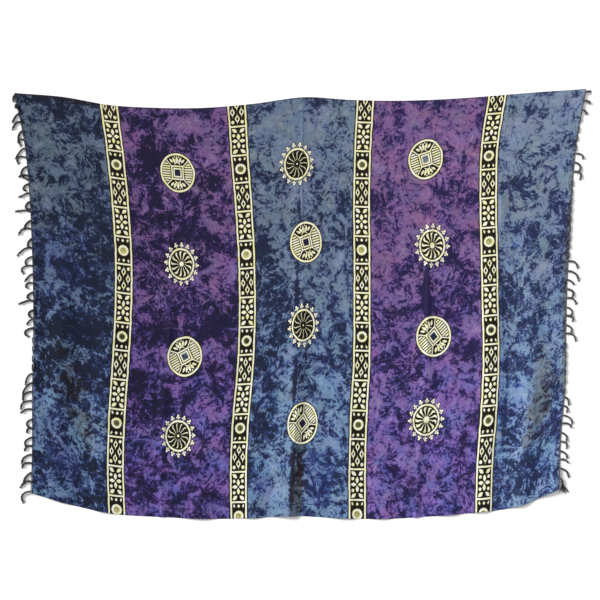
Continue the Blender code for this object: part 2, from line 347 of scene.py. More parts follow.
BAND_SUN_RING_HALF = 3.1
BAND_SUN_OLIVE = 9.4
BAND_SUN_CORE = 6.8
CORE_UNEVEN = 1.2
SWIRL_PER_MM = 0.55
SWIRL_LINE_FROM = 0.35
SWIRL_LINE_SHARPNESS = 1.6
BAND_LINE_HALF = 2.6
BAND_EDGE = 23.1
BAND_RUNG_END = 23.0
BAND_GROUND_EDGE = 28.9
BAND_THINNER = 0.25
# How pale the suns of a row are: the rows are half pale, pale and dark in turn
ROWS_IN_TURN = 3
PALE_PHASE = 2.154
PALE_SWING = 0.62
PALE_BASE = 0.26

# Drawing of a coin, in mm from its middle. Rims and frames are a middle line and half a width.
COIN_RIM = (49.4, 2.5)
COIN_FRAMES = ((16.9, 1.9), (10.6, 1.8))
COIN_OPENING = 8.8
COIN_GROUND_EDGE = 54.6
DIAGONAL_SLOPE = 0.7
DIAGONAL_HALF = 1.3
DIAGONAL_SHOWN = (18.0, 50.0)
STRIPE_PITCH = 6.5
STRIPE_GAP_HALF = 1.4
STRIPES_FROM = 21.6
STRIPES_OFF_DIAGONAL = 5.0
SPRIG_FROM = 21.4
SPRIG_OFF_DIAGONAL = 3.8
COIN_FIELD_TO = 45.2
SPRIG_LEAVES = (
    ("leaf", (0, 34.5), (3.6, 9.6), 0),
    ("leaf", (8.6, 33.2), (8.8, 3.4), 62),
    ("leaf", (17.0, 31.0), (7.6, 3.2), 40),
)
SPRIG_ARC = ((0, 18.0), 8.6)
SPRIG_ARC_HALF = 1.0
SPRIG_BERRY = ((6.4, 42.4), 1.8)

# Drawing of a sun wheel, in mm from its middle
SPOKES = 13
SPOKE_START = 8.0
SPOKE_LENGTH = 24.0
SPOKE_SHOWN = (9.6, 31.4)
SPOKE_WAVE = 5.2
SPOKE_WAVE_DEPTH = 0.20
SPOKE_BEND = 0.75
SPOKE_THIN = 0.55
SPOKE_THICKER = 1.6
HUB = 4.0
HUB_LARGER = 3.0
WHEEL_RING = (37.2, 2.3)
WHEEL_GROUND_EDGE = 40.6
KNOBS = 16
KNOB_SHAPES = (
    ("oval", (0, 50.8), (3.0, 3.4), 0),
    ("oval", (3.8, 46.2), (2.5, 2.2), 0),
)
KNOB_STEM = (
    ("oval", (0, 44.5), (1.2, 5.5), 0),
)
KNOB_STEM_FROM = 39.0
KNOB_THINNER = 0.15
KNOB_OUTLINE = 1.6
KNOB_COLOUR_FROM = 40.0

# The print's lines waver within this many mm across, and by these shares of it down the cloth
PRINT_WAVER = 4.4
WAVER_DOWN_BAND = 0.5
WAVER_DOWN_MEDALLION = 0.8
# How soft a drawing's edge is, and the value above which a point is taken to be near a drawing
PRINT_SOFT = 0.7
NEAR_LEVEL = 0.999
# These bring the measure of a rhomb and a leaf near to a true distance
RHOMB_STEEPNESS = 0.8
LEAF_STEEPNESS = 0.9

# Noises: features per metre, detail, roughness, distortion, and how far each is shifted
NOISES = {
    "large": (9.0, 3.0, 0.55, 0.6, 3.1),
    "patches": (30.0, 9.0, 0.74, 0.7, 11.7),
    "grain": (130.0, 5.0, 0.74, 0.4, 23.0),
    "burst streaks": (5.5, 4.0, 0.62, 0.0, 0.0),
    "burst places": (6.5, 1.0, 0.5, 0.0, 51.0),
    "drift": (13.0, 4.0, 0.6, 0.8, 77.0),
    "fine drift": (50.0, 5.0, 0.7, 0.3, 88.0),
    "waver": (34.0, 3.0, 0.6, 0.0, 7.0),
    "wear": (60.0, 4.0, 0.65, 0.0, 5.0),
    "threads": (900.0, 2.0, 0.5, 0.0, 2.0),
    "crumple": (26.0, 5.0, 0.58, 0.7, 15.0),
    "yarn fibres": (1500.0, 3.0, 0.6, 0.4, 1.0),
    "yarn patches": (60.0, 3.0, 0.6, 0.0, 9.0),
    "scrunching": (22.0, 4.0, 0.6, 0.0, 0.0),
    "tint": (17.0, 5.0, 0.62, 0.0, 0.0),
}
NOISE_SHIFT = (1.0, 0.7, 1.3)
SCRUNCHING = 0.040
BURSTS_PER_METRE = 10.5
BURST_CHANGE_OUTWARD = 5.5

# How pale the dye is: what each noise gives, and how much the streaks and the placed spots give
PALENESS_SHARES = (("large", 0.19), ("patches", 0.43), ("grain", 0.20))
PALENESS_BASE = 0.09
BURST_RAMP = (0.40, 0.62)
STREAKS_LEAST = 0.08
STREAKS_MORE = 0.24
TONE_SHARE = 0.34
DARK_TO_MIDDLE = (0.470, 0.492)
MIDDLE_TO_LIGHT = (0.496, 0.516)
LIGHT_TO_PALE = (0.545, 0.600)
LOWER_DARKER = 0.006
PALE_WHITENED = 0.08
LOWER_RAMP = (0.25, 0.85)

# The two purple panels, as a middle and half a width in shares across, and how the dyes drift in hue
PURPLE_PANELS = ((0.2765, 0.1135), (0.7315, 0.1165))
PANEL_SOFT = 0.002
DRIFT_LEAST = 0.8
DRIFT_LOWER = 1.2
FINE_DRIFT = 2.2
SHIFT_RAMP = (0.15, 0.75)
RED_TINT = 0.65
RED_TINT_PURPLE = 0.55
RED_TINT_LOWER = 0.25
RED_TINT_VIOLET = 0.6
VIOLET_LESS_RED = 0.07
BLUE_TINT = 0.7
# Painted shade of the hem: a dark line along the top edge, fading towards the right
HEM_SHADE_DOWN = 0.0036
HEM_SHADE_SOFT = 0.0024
HEM_SHADE_FADES = 0.75
HEM_SHADE_SHOWN = 0.8

# How much of a colour shows over the one below it, and where wear and threads begin and end to show
KNOB_COLOUR_SHOWN = 0.75
PALE_SUN_SHOWN = 0.8
CORE_SHOWN = 0.95
SWIRL_SHOWN = 0.48
THREAD_SHOWN = 0.10
WEAR_RAMP = (0.35, 0.65)
THREAD_RAMP = (0.2, 0.8)

# Weave, crumpling and finish of the cloth, and colours of the yarn
WEAVE_RELIEF = 0.00010
CRUMPLE_RELIEF = 0.0022
CLOTH_ROUGHNESS = 0.72
THREAD_ROUGHER = 0.12
CREAM_SMOOTHER = 0.04
YARN_PATCH_RAMP = (0.35, 0.68)
YARN_ENDS = (-0.7, 0.7)
# Painted highlights on the yarn's fibres: where they begin and end to show, and how much shows
YARN_FIBRE_HIGHLIGHT_RAMP = (0.55, 0.8)
YARN_FIBRE_HIGHLIGHT_SHOWN = 0.35

# Fringe, as in the part's source: where the strands start, and how far out and down each one lies
SEAM_GAP = 0.0003
FLOOR_GAP = 0.0002
STRIP_WIDTH = 0.0030
STRAND_PITCH = 0.0255
PITCH_WOBBLE = 0.0016
FIRST_STRAND = 0.0076
LAST_STRAND = 0.0064
EDGE_DIRECTION_REACH = 0.02
ALONG_TURN = 0.30
ALONG_REACH = 0.0046
ALONG_DROP = 0.0165
ALONG_REACH_SPREAD = (0.85, 1.15)
ALONG_DROP_SPREAD = (0.90, 1.10)
FREE_REACH_SPREAD = (0.72, 1.18)
FREE_DROP_SPREAD = (0.72, 1.12)
FRINGE_ZONES = (
    # end, to share down, lies, reach mm, drop mm
    ("left", 0.05, "free", 8, 12),
    ("left", 0.60, "free", 25, 28),
    ("left", 0.68, "along", 0, 0),
    ("left", 1.01, "free", 26, 29),
    ("right", 0.07, "free", 16, 8),
    ("right", 0.14, "along", 0, 0),
    ("right", 0.22, "free", 20, 22),
    ("right", 0.43, "along", 0, 0),
    ("right", 0.63, "free", 19, 25),
    ("right", 0.76, "along", 0, 0),
    ("right", 1.01, "free", 18, 24),
)
FRINGE_SEEDS = {"left": 11, "right": 23}

# Yarn that only the looks have: how a strand lies on its path, and its plies, knot and tuft
CORNER_STRANDS = {
    # end and corner: how the strand lies there, as one of the manners below
    ("right", "top"): "clump",
    ("right", "bottom"): "loose",
}
STRAND_MANNERS = {
    # stretch from and to, lean from and to, and how far the end may curl, in radians
    "left even": ((0.72, 1.25), (-0.10, 0.45), (-0.70, -0.30, 0.0, 0.30, 0.80, 1.30, 1.70)),
    "left odd": ((0.72, 1.25), (-0.62, 0.10), (-0.70, -0.30, 0.0, 0.30, 0.80, 1.30, 1.70)),
    "right even": ((0.85, 1.30), (-0.30, 0.05), (0.0, 0.40, 0.80, 1.20)),
    "right odd": ((0.85, 1.30), (-0.50, -0.15), (-0.30, 0.20, 0.60, 1.00)),
    "along": ((0.72, 0.95), (0.05, 0.30), (0.0, 0.20, 0.40)),
    "loose": ((1.20, 1.35), (0.35, 0.50), (0.0, 0.20)),
    "clump": ((1.00, 1.10), (-0.75, -0.65), (0.0, 0.20)),
}
ROOT_IN_STRIP = 0.6
STRAND_STEPS = 34
CURL_FROM = 0.45
SWAY = 0.0011
SWAY_WAVES = 5.0
LEAST_OUTWARD = 0.0015
ALONG_PULLED_IN = 0.30
ALONG_PLIES = (0.55, 0.68)
FREE_PLIES = (0.85, 1.12)
PLY_SIDES = 6
PLY_RADIUS = 0.00175
PLY_OFFSET = 0.00140
PLY_UNEVEN = 0.08
PLY_UNEVEN_STEP = 3.1
TWIST_LENGTH = 0.0085
KNOT_AT = 0.82
KNOT_RADIUS = 0.0030
KNOT_LOOPS = 2
KNOT_LOOP_STEPS = 9
KNOT_LOOP_TURNS = 1.08
KNOT_LOOP_SHARE = 0.62
KNOT_LOOP_SPACING = 0.0017
KNOT_LOOP_SLANT = 0.0012
KNOT_RISE = 0.35
KNOT_PLY = 0.95
KNOT_SIDES = 5
TUFT_FIBRES = 18
LOOSE_KNOT_AT = 0.45
LOOSE_FIBRES = 46
LEAST_TUFT = 0.005
TUFT_SPREAD = 0.42
TUFT_RISE = 0.0016
TUFT_STRETCH = (0.85, 1.45)
FIBRE_RADII = (0.00060, 0.00060, 0.00052, 0.00024)
FIBRE_SIDES = 3
FIBRE_FLOOR_SHARE = 0.5
# Below this length the sideways direction of a steep line is found another way
STEEP = 0.2

# Edge cord and its whipping stitches
EDGE_READS = 121
CORD_IN_STRIP = 0.45
CORD_STEPS = 260
CORD_RISE = 0.00105
CORD_RADIUS = 0.00095
CORD_UNEVEN = 0.00012
CORD_UNEVEN_STEP = 1.9
CORD_SIDES = 7
STITCH_PITCH = 0.0042
STITCH_STEPS = 6
STITCH_OVERLAP = 0.35
STITCH_OUT = 0.00135
STITCH_UP = 0.0012
STITCH_SLANT = 0.0016
STITCH_WOBBLE = 0.0001
STITCH_RADIUS = 0.00034
STITCH_SIDES = 4

# Camera: the frame's width in pixels, a pixel's size, and the frame's middle in the laid form's tables
PHOTO_WIDTH = 600
PIXEL = 0.00283
PHOTO_MIDDLE = (-0.0085, 0.0113)
CAMERA_HEIGHT = 4.2
SENSOR = 36.0

FLOOR_LEVEL = -0.0002


def linear(red, green, blue):
    """A colour as seen on a screen, 0 to 255, as the shader's own values."""
    result = []
    for value in (red, green, blue):
        value /= 255
        result.append(value / 12.92 if value < 0.04045 else ((value + 0.055) / 1.055) ** 2.4)
    return (*result, 1.0)


# Dyes and other colours that change over the cloth. Four colours are the top left, top right, bottom left and
# bottom right, and two colours are the left and right ends. Every colour with a left and a right end, ink,
# cream and yarn too, is brighter at the right, and the four-corner colours are also brighter at the bottom:
# painted light, falling more on the lower right of the cloth. The change in hue lower down is the dye's own.
BLUE_LIGHT = (linear(75, 90, 107), linear(113, 129, 152), linear(90, 115, 146), linear(119, 147, 180))
BLUE_MIDDLE = (linear(34, 44, 74), linear(65, 78, 118), linear(34, 49, 94), linear(62, 80, 132))
BLUE_DARK = (linear(11, 18, 38), linear(33, 42, 73))
PURPLE_LIGHT = (linear(98, 72, 116), linear(120, 90, 136), linear(98, 77, 140), linear(124, 99, 166))
PURPLE_MIDDLE = (linear(46, 32, 78), linear(71, 52, 111), linear(46, 36, 92), linear(73, 57, 124))
PURPLE_DARK = (linear(14, 10, 36), linear(36, 29, 70))
# The blue where it is greyer, and where it is stronger
GREYED_LIGHT = (linear(70, 80, 96), linear(102, 116, 130))
GREYED_MIDDLE = (linear(38, 42, 58), linear(72, 77, 97))
GREYED_DARK = (linear(16, 14, 22), linear(42, 36, 50))
ROYAL_LIGHT = (linear(76, 90, 126), linear(112, 136, 176))
ROYAL_MIDDLE = (linear(36, 48, 96), linear(56, 80, 142))
ROYAL_DARK = (linear(18, 23, 54), linear(36, 44, 90))
WHITE = (1, 1, 1, 1)
# Painted shade of the hem, along the top edge
HEM_PAINTED_SHADE = linear(14, 14, 24)
# The print
INK = (linear(8, 5, 1), linear(19, 17, 6))
INK_WORN = (linear(20, 15, 6), linear(31, 26, 15))
CREAM = (linear(210, 203, 136), linear(230, 224, 158), linear(223, 220, 164), linear(233, 231, 180))
CREAM_PALE = (linear(216, 213, 193), linear(236, 234, 216), linear(229, 231, 221), linear(238, 241, 234))
KNOB_PALE = (linear(226, 220, 204), linear(240, 235, 222))
OLIVE = linear(136, 138, 88)
OLIVE_DARK = linear(32, 38, 28)
THREAD_DARK = linear(12, 12, 24)
# The yarn, darker and lighter, and the painted highlights on its fibres
# The right fringe's yarn is lighter than the left's: painted light, as on the cloth
YARN_LEFT = (linear(14, 14, 22), linear(36, 37, 52))
YARN_RIGHT = (linear(36, 38, 48), linear(74, 75, 80))
YARN_FIBRE_HIGHLIGHT = linear(96, 96, 108)


def smooth_read(places, values, at):
    """Read tables on a smooth curve through their points. values has a row for each place."""
    places = np.asarray(places, float)
    at = np.asarray(at, float)
    last = len(places) - 1
    rows = [np.broadcast_to(np.asarray(row, float), at.shape) for row in values]
    slopes = []
    for index in range(last + 1):
        low = max(index - 1, 0)
        high = min(index + 1, last)
        slopes.append((rows[high] - rows[low]) / (places[high] - places[low]))
    step = np.clip(np.searchsorted(places, at, side="left") - 1, 0, last - 1)
    result = np.zeros(at.shape)
    for index in range(last):
        span = places[index + 1] - places[index]
        t = (at - places[index]) / span
        rise = rows[index + 1] - rows[index]
        start_slope = slopes[index] * span
        end_slope = slopes[index + 1] * span
        cubic = start_slope + end_slope - 2 * rise
        square = 3 * rise - 2 * start_slope - end_slope
        value = rows[index] + t * (start_slope + t * (square + t * cubic))
        result = np.where(step == index, value, result)
    return result


def ease(value):
    value = np.clip(value, 0.0, 1.0)
    return value * value * (3 - 2 * value)


def bump(distance, reach):
    """One at the middle, falling smoothly to exactly zero at the reach."""
    share = np.clip(np.abs(distance) / reach, 0.0, 1.0)
    return 0.5 * (1 + np.cos(np.pi * share))


def plan(across, down):
    """The place on the floor of points of the flat cloth, before the whole is centred."""
    heights = np.linspace(0, 1, len(GUIDE_ROWS))
    guides = []
    for column in range(len(GUIDE_ACROSS)):
        guides.append(smooth_read(heights, [row[column] for row in GUIDE_ROWS], down))
    x = smooth_read(GUIDE_ACROSS, guides, across)
    top = smooth_read(np.linspace(0, 1, len(TOP_EDGE)), TOP_EDGE, across)
    bottom = smooth_read(np.linspace(0, 1, len(BOTTOM_EDGE)), BOTTOM_EDGE, across)
    return x * MM, (top + (bottom - top) * down) * MM


def lift(across, down):
    """How far the underside of the laid cloth stands off the floor in the solids."""
    total = np.zeros(np.broadcast(across, down).shape)
    for at_top, at_bottom, starts, full_at, height, left_flank, right_flank in FOLDS:
        offset = (across - at_top - (at_bottom - at_top) * down) * CLOTH_WIDTH
        flank = np.where(offset < 0, left_flank, right_flank) * MM
        total += height * MM * ease((down - starts) / (full_at - starts)) * bump(offset, flank)
    for crease_down, height, flank in CROSS_CREASES:
        wave = np.sin(CREASE_WAVES * across + CREASE_PHASE * crease_down)
        uneven = 1 - CREASE_UNEVEN + CREASE_UNEVEN * wave
        total += height * MM * uneven * bump((down - crease_down) * CLOTH_HEIGHT, flank * MM)
    for end, from_down, to_down, height, reach in EDGE_LIFTS:
        inwards = across if end == "left" else 1 - across
        middle = (from_down + to_down) / 2
        along = np.minimum(EDGE_LEVEL * bump(down - middle, (to_down - from_down) / 2), 1.0)
        total += height * MM * along * bump(inwards * CLOTH_WIDTH, reach * MM)
    for corner_across, corner_down, height, radius in CORNER_LIFTS:
        away = np.hypot((across - corner_across) * CLOTH_WIDTH, (down - corner_down) * CLOTH_HEIGHT)
        total += height * MM * bump(away, radius * MM)
    return total


def come_and_go(uneven, along, place):
    """A wave along a pressed line, with another phase for each line's place."""
    base, swing, waves, phase = uneven
    return base + swing * np.sin(waves * along + phase * place)


def pressed_profile(offset, flank):
    """The height of a pressed line at a distance from its middle, where 1 is its top."""
    return np.exp(-np.abs(offset / (flank * MM)) ** PRESSED_SHARPNESS)


def pressed_lift(across, down):
    """Sharp lines left by the iron or the packet, which come and go along their length."""
    total = np.zeros(np.broadcast(across, down).shape)
    for at_top, at_bottom, height, flank in PRESSED_DOWN:
        offset = (across - at_top - (at_bottom - at_top) * down) * CLOTH_WIDTH
        strength = come_and_go(PRESSED_DOWN_UNEVEN, down, at_top)
        total += height * MM * strength * pressed_profile(offset, flank)
    for at_down, height, flank in PRESSED_ACROSS:
        offset = (down - at_down - come_and_go(PRESSED_WANDER, across, at_down)) * CLOTH_HEIGHT
        strength = come_and_go(PRESSED_ACROSS_UNEVEN, across, at_down)
        total += height * MM * strength * pressed_profile(offset, flank)
    return total


def ripple_lift(across, down):
    total = np.zeros(np.broadcast(across, down).shape)
    for at_across, at_down, length, width, lean, height in RIPPLES:
        below = (down - at_down) * CLOTH_HEIGHT
        along = below / (length * MM)
        aside = ((across - at_across) * CLOTH_WIDTH - lean * below) / (width * MM)
        total += height * MM * np.exp(-aside ** 2) * np.exp(-(along * RIPPLE_END) ** 2)
    return total


def pucker_lift(across, down):
    """Small waves along both fringed edges, where the strands pull."""
    waves = 0.5 + 0.5 * np.sin(2 * np.pi * down * CLOTH_HEIGHT / STRAND_PITCH)
    left = np.exp(-(across * CLOTH_WIDTH / PUCKER_REACH) ** 2)
    right = np.exp(-((1 - across) * CLOTH_WIDTH / PUCKER_REACH) ** 2)
    return PUCKER_HEIGHT * waves * (left + right)


def laid_height(across, down):
    fine = pressed_lift(across, down) + ripple_lift(across, down) + pucker_lift(across, down)
    return lift(across, down) + fine


def centring():
    """The small move that the part's source makes to put the whole over the origin."""
    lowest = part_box("cloth")[0]
    edge_down = np.linspace(0, 1, len(GUIDE_ROWS))
    own_left = plan(np.zeros(edge_down.shape), edge_down)[0].min()
    edge_across = np.linspace(0, 1, BOTTOM_READS)
    own_low = plan(edge_across, np.ones(edge_across.shape))[1].min()
    return lowest[0] - own_left, lowest[1] - own_low


shift_x, shift_y = centring()


# Grid of the visible sheet

def graded(count, lines, near, gain):
    """Shares from 0 to 1, closer together near the given lines."""
    fine = np.linspace(0, 1, GRADING_STEPS)
    density = np.ones(fine.shape)
    for line in lines:
        density += gain * np.exp(-((fine - line) / near) ** 2)
    total = np.concatenate(([0.0], np.cumsum((density[1:] + density[:-1]) / 2)))
    return np.interp(np.linspace(0, total[-1], count), total, fine)


def flat_mm(across, down):
    return across * CLOTH_WIDTH / MM, down * CLOTH_HEIGHT / MM


def band_coordinates(across, down):
    """For each point: mm from the nearest band's middle, its repeats down the band, and 1 where near."""
    across_mm, down_mm = flat_mm(across, down)
    best = np.full(across.shape, FAR_OFF)
    repeats = np.zeros(across.shape)
    for share, first, repeat, growth in BANDS:
        offset = across_mm - share * CLOTH_WIDTH / MM
        start = repeat - growth / 2
        turns = (np.sqrt(start * start + 2 * growth * (down_mm - first)) - start) / growth
        closer = np.abs(offset) < np.abs(best)
        best = np.where(closer, offset, best)
        repeats = np.where(closer, turns, repeats)
    return np.stack((best, repeats + 1, np.abs(best) < BAND_NEAR), axis=-1)


def medallion_coordinates(across, down, kind):
    """For each point: mm across and up from a medallion of this kind, 1 where near, and spoke weight."""
    across_mm, down_mm = flat_mm(across, down)
    radius = MEDALLION_RADIUS[kind]
    result = np.zeros(across.shape + (4,))
    for this_kind, middle_across, middle_down, half_width, half_height, lean, weight in MEDALLIONS:
        if this_kind != kind:
            continue
        aside = (across_mm - middle_across) * radius / half_width
        above = (middle_down - down_mm) * radius / half_height
        near = np.hypot(aside, above) < MEDALLION_NEAR
        turn = math.radians(lean)
        place = (
            aside * math.cos(turn) + above * math.sin(turn),
            above * math.cos(turn) - aside * math.sin(turn),
            np.ones(across.shape),
            np.full(across.shape, weight),
        )
        result = np.where(near[..., None], np.stack(place, axis=-1), result)
    return result


def dye_and_painted_shading_spots(table, across, down):
    """The sum of soft spots of dye and of painted light and shade."""
    across_mm, down_mm = flat_mm(across, down)
    total = np.zeros(across.shape)
    for at_across, at_down, half_width, half_height, amount in table:
        aside = (across_mm - at_across) / half_width
        below = (down_mm - at_down) / half_height
        total += amount * np.exp(-aside ** 2 - below ** 2)
    return total


def sheet_grid():
    """Shares across and down of the shell's vertices."""
    rows = graded(SHEET_ROWS, [row[0] for row in PRESSED_ACROSS] + [1.0], *ROW_CROWDING)
    down = np.repeat(rows[:, None], SHEET_COLUMNS, axis=1)
    across = np.zeros(down.shape)
    for index, row in enumerate(rows):
        lines = [at_top + (at_bottom - at_top) * row for at_top, at_bottom, _, _ in PRESSED_DOWN]
        across[index] = graded(SHEET_COLUMNS, lines + [0.0, 1.0], *COLUMN_CROWDING)
    return across, down


def shell_faces():
    """Faces of a closed shell, whose lower vertices come first and its upper ones after them."""
    count = SHEET_ROWS * SHEET_COLUMNS
    index = np.arange(count).reshape(SHEET_ROWS, SHEET_COLUMNS)
    a, b, c, d = index[:-1, :-1], index[:-1, 1:], index[1:, 1:], index[1:, :-1]
    under = np.stack((a, b, c, d), axis=-1).reshape(-1, 4)
    over = np.stack((a, d, c, b), axis=-1).reshape(-1, 4) + count
    rim = np.concatenate((index[0, :], index[1:, -1], index[-1, -2::-1], index[-2:0:-1, 0]))
    ahead = np.roll(rim, -1)
    side = np.stack((ahead, rim, rim + count, ahead + count), axis=-1)
    return np.concatenate((under, over, side))


def store(mesh, name, values):
    """Keep values for the material to read, the same on the lower and the upper vertices."""
    kind, field = ("FLOAT", "value") if values.shape[-1] == 1 else ("FLOAT_VECTOR", "vector")
    attribute = mesh.attributes.new(name, kind, "POINT")
    values = np.concatenate((values, values)).astype(np.float32)
    attribute.data.foreach_set(field, values.ravel())


def link_piece(name, mesh):
    mesh.shade_smooth()
    piece = bpy.data.objects.new(name, mesh)
    bpy.context.scene.collection.objects.link(piece)
    return piece


def make_sheet(material):
    """The cloth as a thin closed shell on the form of its solid."""
    across, down = sheet_grid()
    x, y = plan(across, down)
    low = np.stack((x + shift_x, y + shift_y, laid_height(across, down)), axis=-1).reshape(-1, 3)
    high = low + np.array((0, 0, SHEET_THICKNESS))
    mesh = bpy.data.meshes.new("batik_cloth")
    mesh.from_pydata(np.concatenate((low, high)).tolist(), [], shell_faces().tolist())
    corners = np.zeros(len(mesh.loops), np.int32)
    mesh.loops.foreach_get("vertex_index", corners)
    flat = np.stack((across, 1 - down), axis=-1).reshape(-1, 2)
    flat = np.concatenate((flat, flat))[corners]
    mesh.uv_layers.new(name="flat_cloth").data.foreach_set("uv", flat.astype(np.float32).ravel())
    coin = medallion_coordinates(across, down, "coin").reshape(-1, 4)
    sun = medallion_coordinates(across, down, "sun").reshape(-1, 4)
    store(mesh, "band", band_coordinates(across, down).reshape(-1, 3))
    store(mesh, "coin", coin[:, :3])
    store(mesh, "sun", sun[:, :3])
    store(mesh, "spoke_weight", sun[:, 3:])
    # The tone and turn spots carry painted light and shade along the folds and the top edge, as well as the
    # dye's own spots
    store(mesh, "tone_and_painted_shading", dye_and_painted_shading_spots(DYE_TONES_AND_PAINTED_SHADING, across, down).reshape(-1, 1))
    store(mesh, "turn", dye_and_painted_shading_spots(DYE_TURNS_AND_PAINTED_SHADING, across, down).reshape(-1, 1))
    mesh.materials.append(material)
    return link_piece("batik_cloth", mesh)


# Material nodes written as sums: a Field is a number that varies over the surface, a Place is a point

def feed(place, value):
    """Give a node's input a constant, or link a Field, a Place or a socket to it."""
    if isinstance(value, (Field, Place)):
        value = value.socket
    if isinstance(value, bpy.types.NodeSocket):
        Field.tree.links.new(value, place)
    else:
        place.default_value = value


def add_node(kind, inputs, **settings):
    """A node with its settings made first, and then its inputs, by name or number or in their order."""
    node = Field.tree.nodes.new("ShaderNode" + kind)
    for name, value in settings.items():
        setattr(node, name, value)
    for key, value in inputs.items() if isinstance(inputs, dict) else enumerate(inputs):
        feed(node.inputs[key], value)
    return node


class Field:
    tree = None

    def __init__(self, socket):
        self.socket = socket

    @classmethod
    def math(cls, operation, *values, clamp=False):
        return Field(add_node("Math", values, operation=operation, use_clamp=clamp).outputs[0])

    def __add__(self, other):
        return Field.math("ADD", self, other)

    __radd__ = __add__

    def __sub__(self, other):
        return Field.math("SUBTRACT", self, other)

    def __rsub__(self, other):
        return Field.math("SUBTRACT", other, self)

    def __mul__(self, other):
        return Field.math("MULTIPLY", self, other)

    __rmul__ = __mul__

    def __truediv__(self, other):
        return Field.math("DIVIDE", self, other)

    def __neg__(self):
        return Field.math("MULTIPLY", self, -1.0)

    def __abs__(self):
        return Field.math("ABSOLUTE", self)


def least(first, *others):
    for other in others:
        first = Field.math("MINIMUM", first, other)
    return first


def most(first, *others):
    for other in others:
        first = Field.math("MAXIMUM", first, other)
    return first


def filled(distance, soft):
    """1 inside a shape and 0 outside it, from its distance, over an edge this soft."""
    return Field.math("MULTIPLY_ADD", distance, -1.0 / soft, 0.5, clamp=True)


def ramp(value, low, high):
    """From 0 at low to 1 at high, on a smooth curve."""
    inputs = {"Value": value, "From Min": low, "From Max": high}
    return Field(add_node("MapRange", inputs, interpolation_type="SMOOTHSTEP").outputs["Result"])


def stroke(value, middle, half_width):
    """The distance from a line of this half width, where the value is at the middle."""
    return abs(value - middle) - half_width


class Place:
    """A point of the cloth or of the print, or a colour taken as a point."""

    def __init__(self, socket):
        self.socket = socket

    @classmethod
    def of(cls, x, y, z=0.0):
        return Place(add_node("CombineXYZ", (x, y, z)).outputs[0])

    def vector(self, operation, *others):
        return add_node("VectorMath", (self, *others), operation=operation)

    def changed(self, operation, *others):
        return Place(self.vector(operation, *others).outputs["Vector"])

    def length(self):
        return Field(self.vector("LENGTH").outputs["Value"])

    def split(self):
        return [Field(output) for output in add_node("SeparateXYZ", (self,)).outputs]

    def fitted(self, middle, half_size):
        """The point measured from a shape's middle in the shape's half sizes."""
        scale = (1 / half_size[0], 1 / half_size[1], 0)
        offset = (-middle[0] / half_size[0], -middle[1] / half_size[1], 0)
        return self.changed("MULTIPLY_ADD", scale, offset)

    def turned(self, middle, degrees):
        inputs = {"Vector": self, "Center": (*middle, 0), "Angle": math.radians(-degrees)}
        return Place(add_node("VectorRotate", inputs, rotation_type="Z_AXIS").outputs["Vector"])

    def disc(self, middle, radius):
        return Field(self.vector("DISTANCE", (*middle, 0)).outputs["Value"]) - radius

    def oval(self, middle, half_size):
        return (self.fitted(middle, half_size).length() - 1.0) * min(half_size)

    def rhomb(self, middle, half_size):
        corner = self.fitted(middle, half_size).changed("ABSOLUTE")
        total = Field(corner.vector("DOT_PRODUCT", (1, 1, 0)).outputs["Value"])
        return (total - 1.0) * (min(half_size) * RHOMB_STEEPNESS)

    def leaf(self, middle, half_size):
        """A pointed oval, halfway between a rhomb and an oval."""
        around = self.fitted(middle, half_size)
        corner = around.changed("ABSOLUTE")
        total = Field(corner.vector("DOT_PRODUCT", (0.5, 0.5, 0)).outputs["Value"])
        return (total + around.length() * 0.5 - 1.0) * (min(half_size) * LEAF_STEEPNESS)


# The kinds that the tables of shapes name
SHAPE_KINDS = {"leaf": Place.leaf, "oval": Place.oval, "rhomb": Place.rhomb}


def drawn(place, shapes):
    """The distance to the nearest of a table's shapes."""
    distances = []
    for kind, middle, half_size, degrees in shapes:
        spot = place.turned(middle, degrees) if degrees else place
        distances.append(SHAPE_KINDS[kind](spot, middle, half_size))
    return least(*distances)


def attribute(name, output):
    return add_node("Attribute", (), attribute_name=name).outputs[output]


def noise_node(place, name):
    scale, detail, roughness, distortion, shift = NOISES[name]
    shifted = place.changed("ADD", tuple(shift * share for share in NOISE_SHIFT))
    return add_node("TexNoise", {
        "Vector": shifted,
        "Scale": scale,
        "Detail": detail,
        "Roughness": roughness,
        "Distortion": distortion,
    })


def noise(place, name):
    return Field(noise_node(place, name).outputs["Fac"])


def colour_noise(place, name):
    """Three noises at once, as a point."""
    return Place(noise_node(place, name).outputs["Color"])


def mixed(first, second, share):
    """A blend of two colours, each a constant or a socket."""
    return add_node("Mix", {0: share, 6: first, 7: second}, data_type="RGBA").outputs[2]


# Colours read at the four corners; the brighter right and bottom are painted light
def four_way(colours, across, down):
    return mixed(mixed(colours[0], colours[1], across), mixed(colours[2], colours[3], across), down)


# Dye

def star_bursts(flat):
    """Streaks that run out from scattered points, where the cloth was scrunched up for the dye."""
    offset = colour_noise(flat, "scrunching")
    offset = offset.changed("MULTIPLY_ADD", (SCRUNCHING,) * 3, (-SCRUNCHING / 2,) * 3)
    flat = flat.changed("ADD", offset)
    cells = add_node("TexVoronoi", {"Vector": flat, "Scale": BURSTS_PER_METRE}, voronoi_dimensions="2D")
    local = flat.changed("SUBTRACT", cells.outputs["Position"])
    ray_x, ray_y, _ = local.changed("NORMALIZE").changed("ADD", cells.outputs["Color"]).split()
    return noise(Place.of(ray_x, ray_y, local.length() * BURST_CHANGE_OUTWARD), "burst streaks")


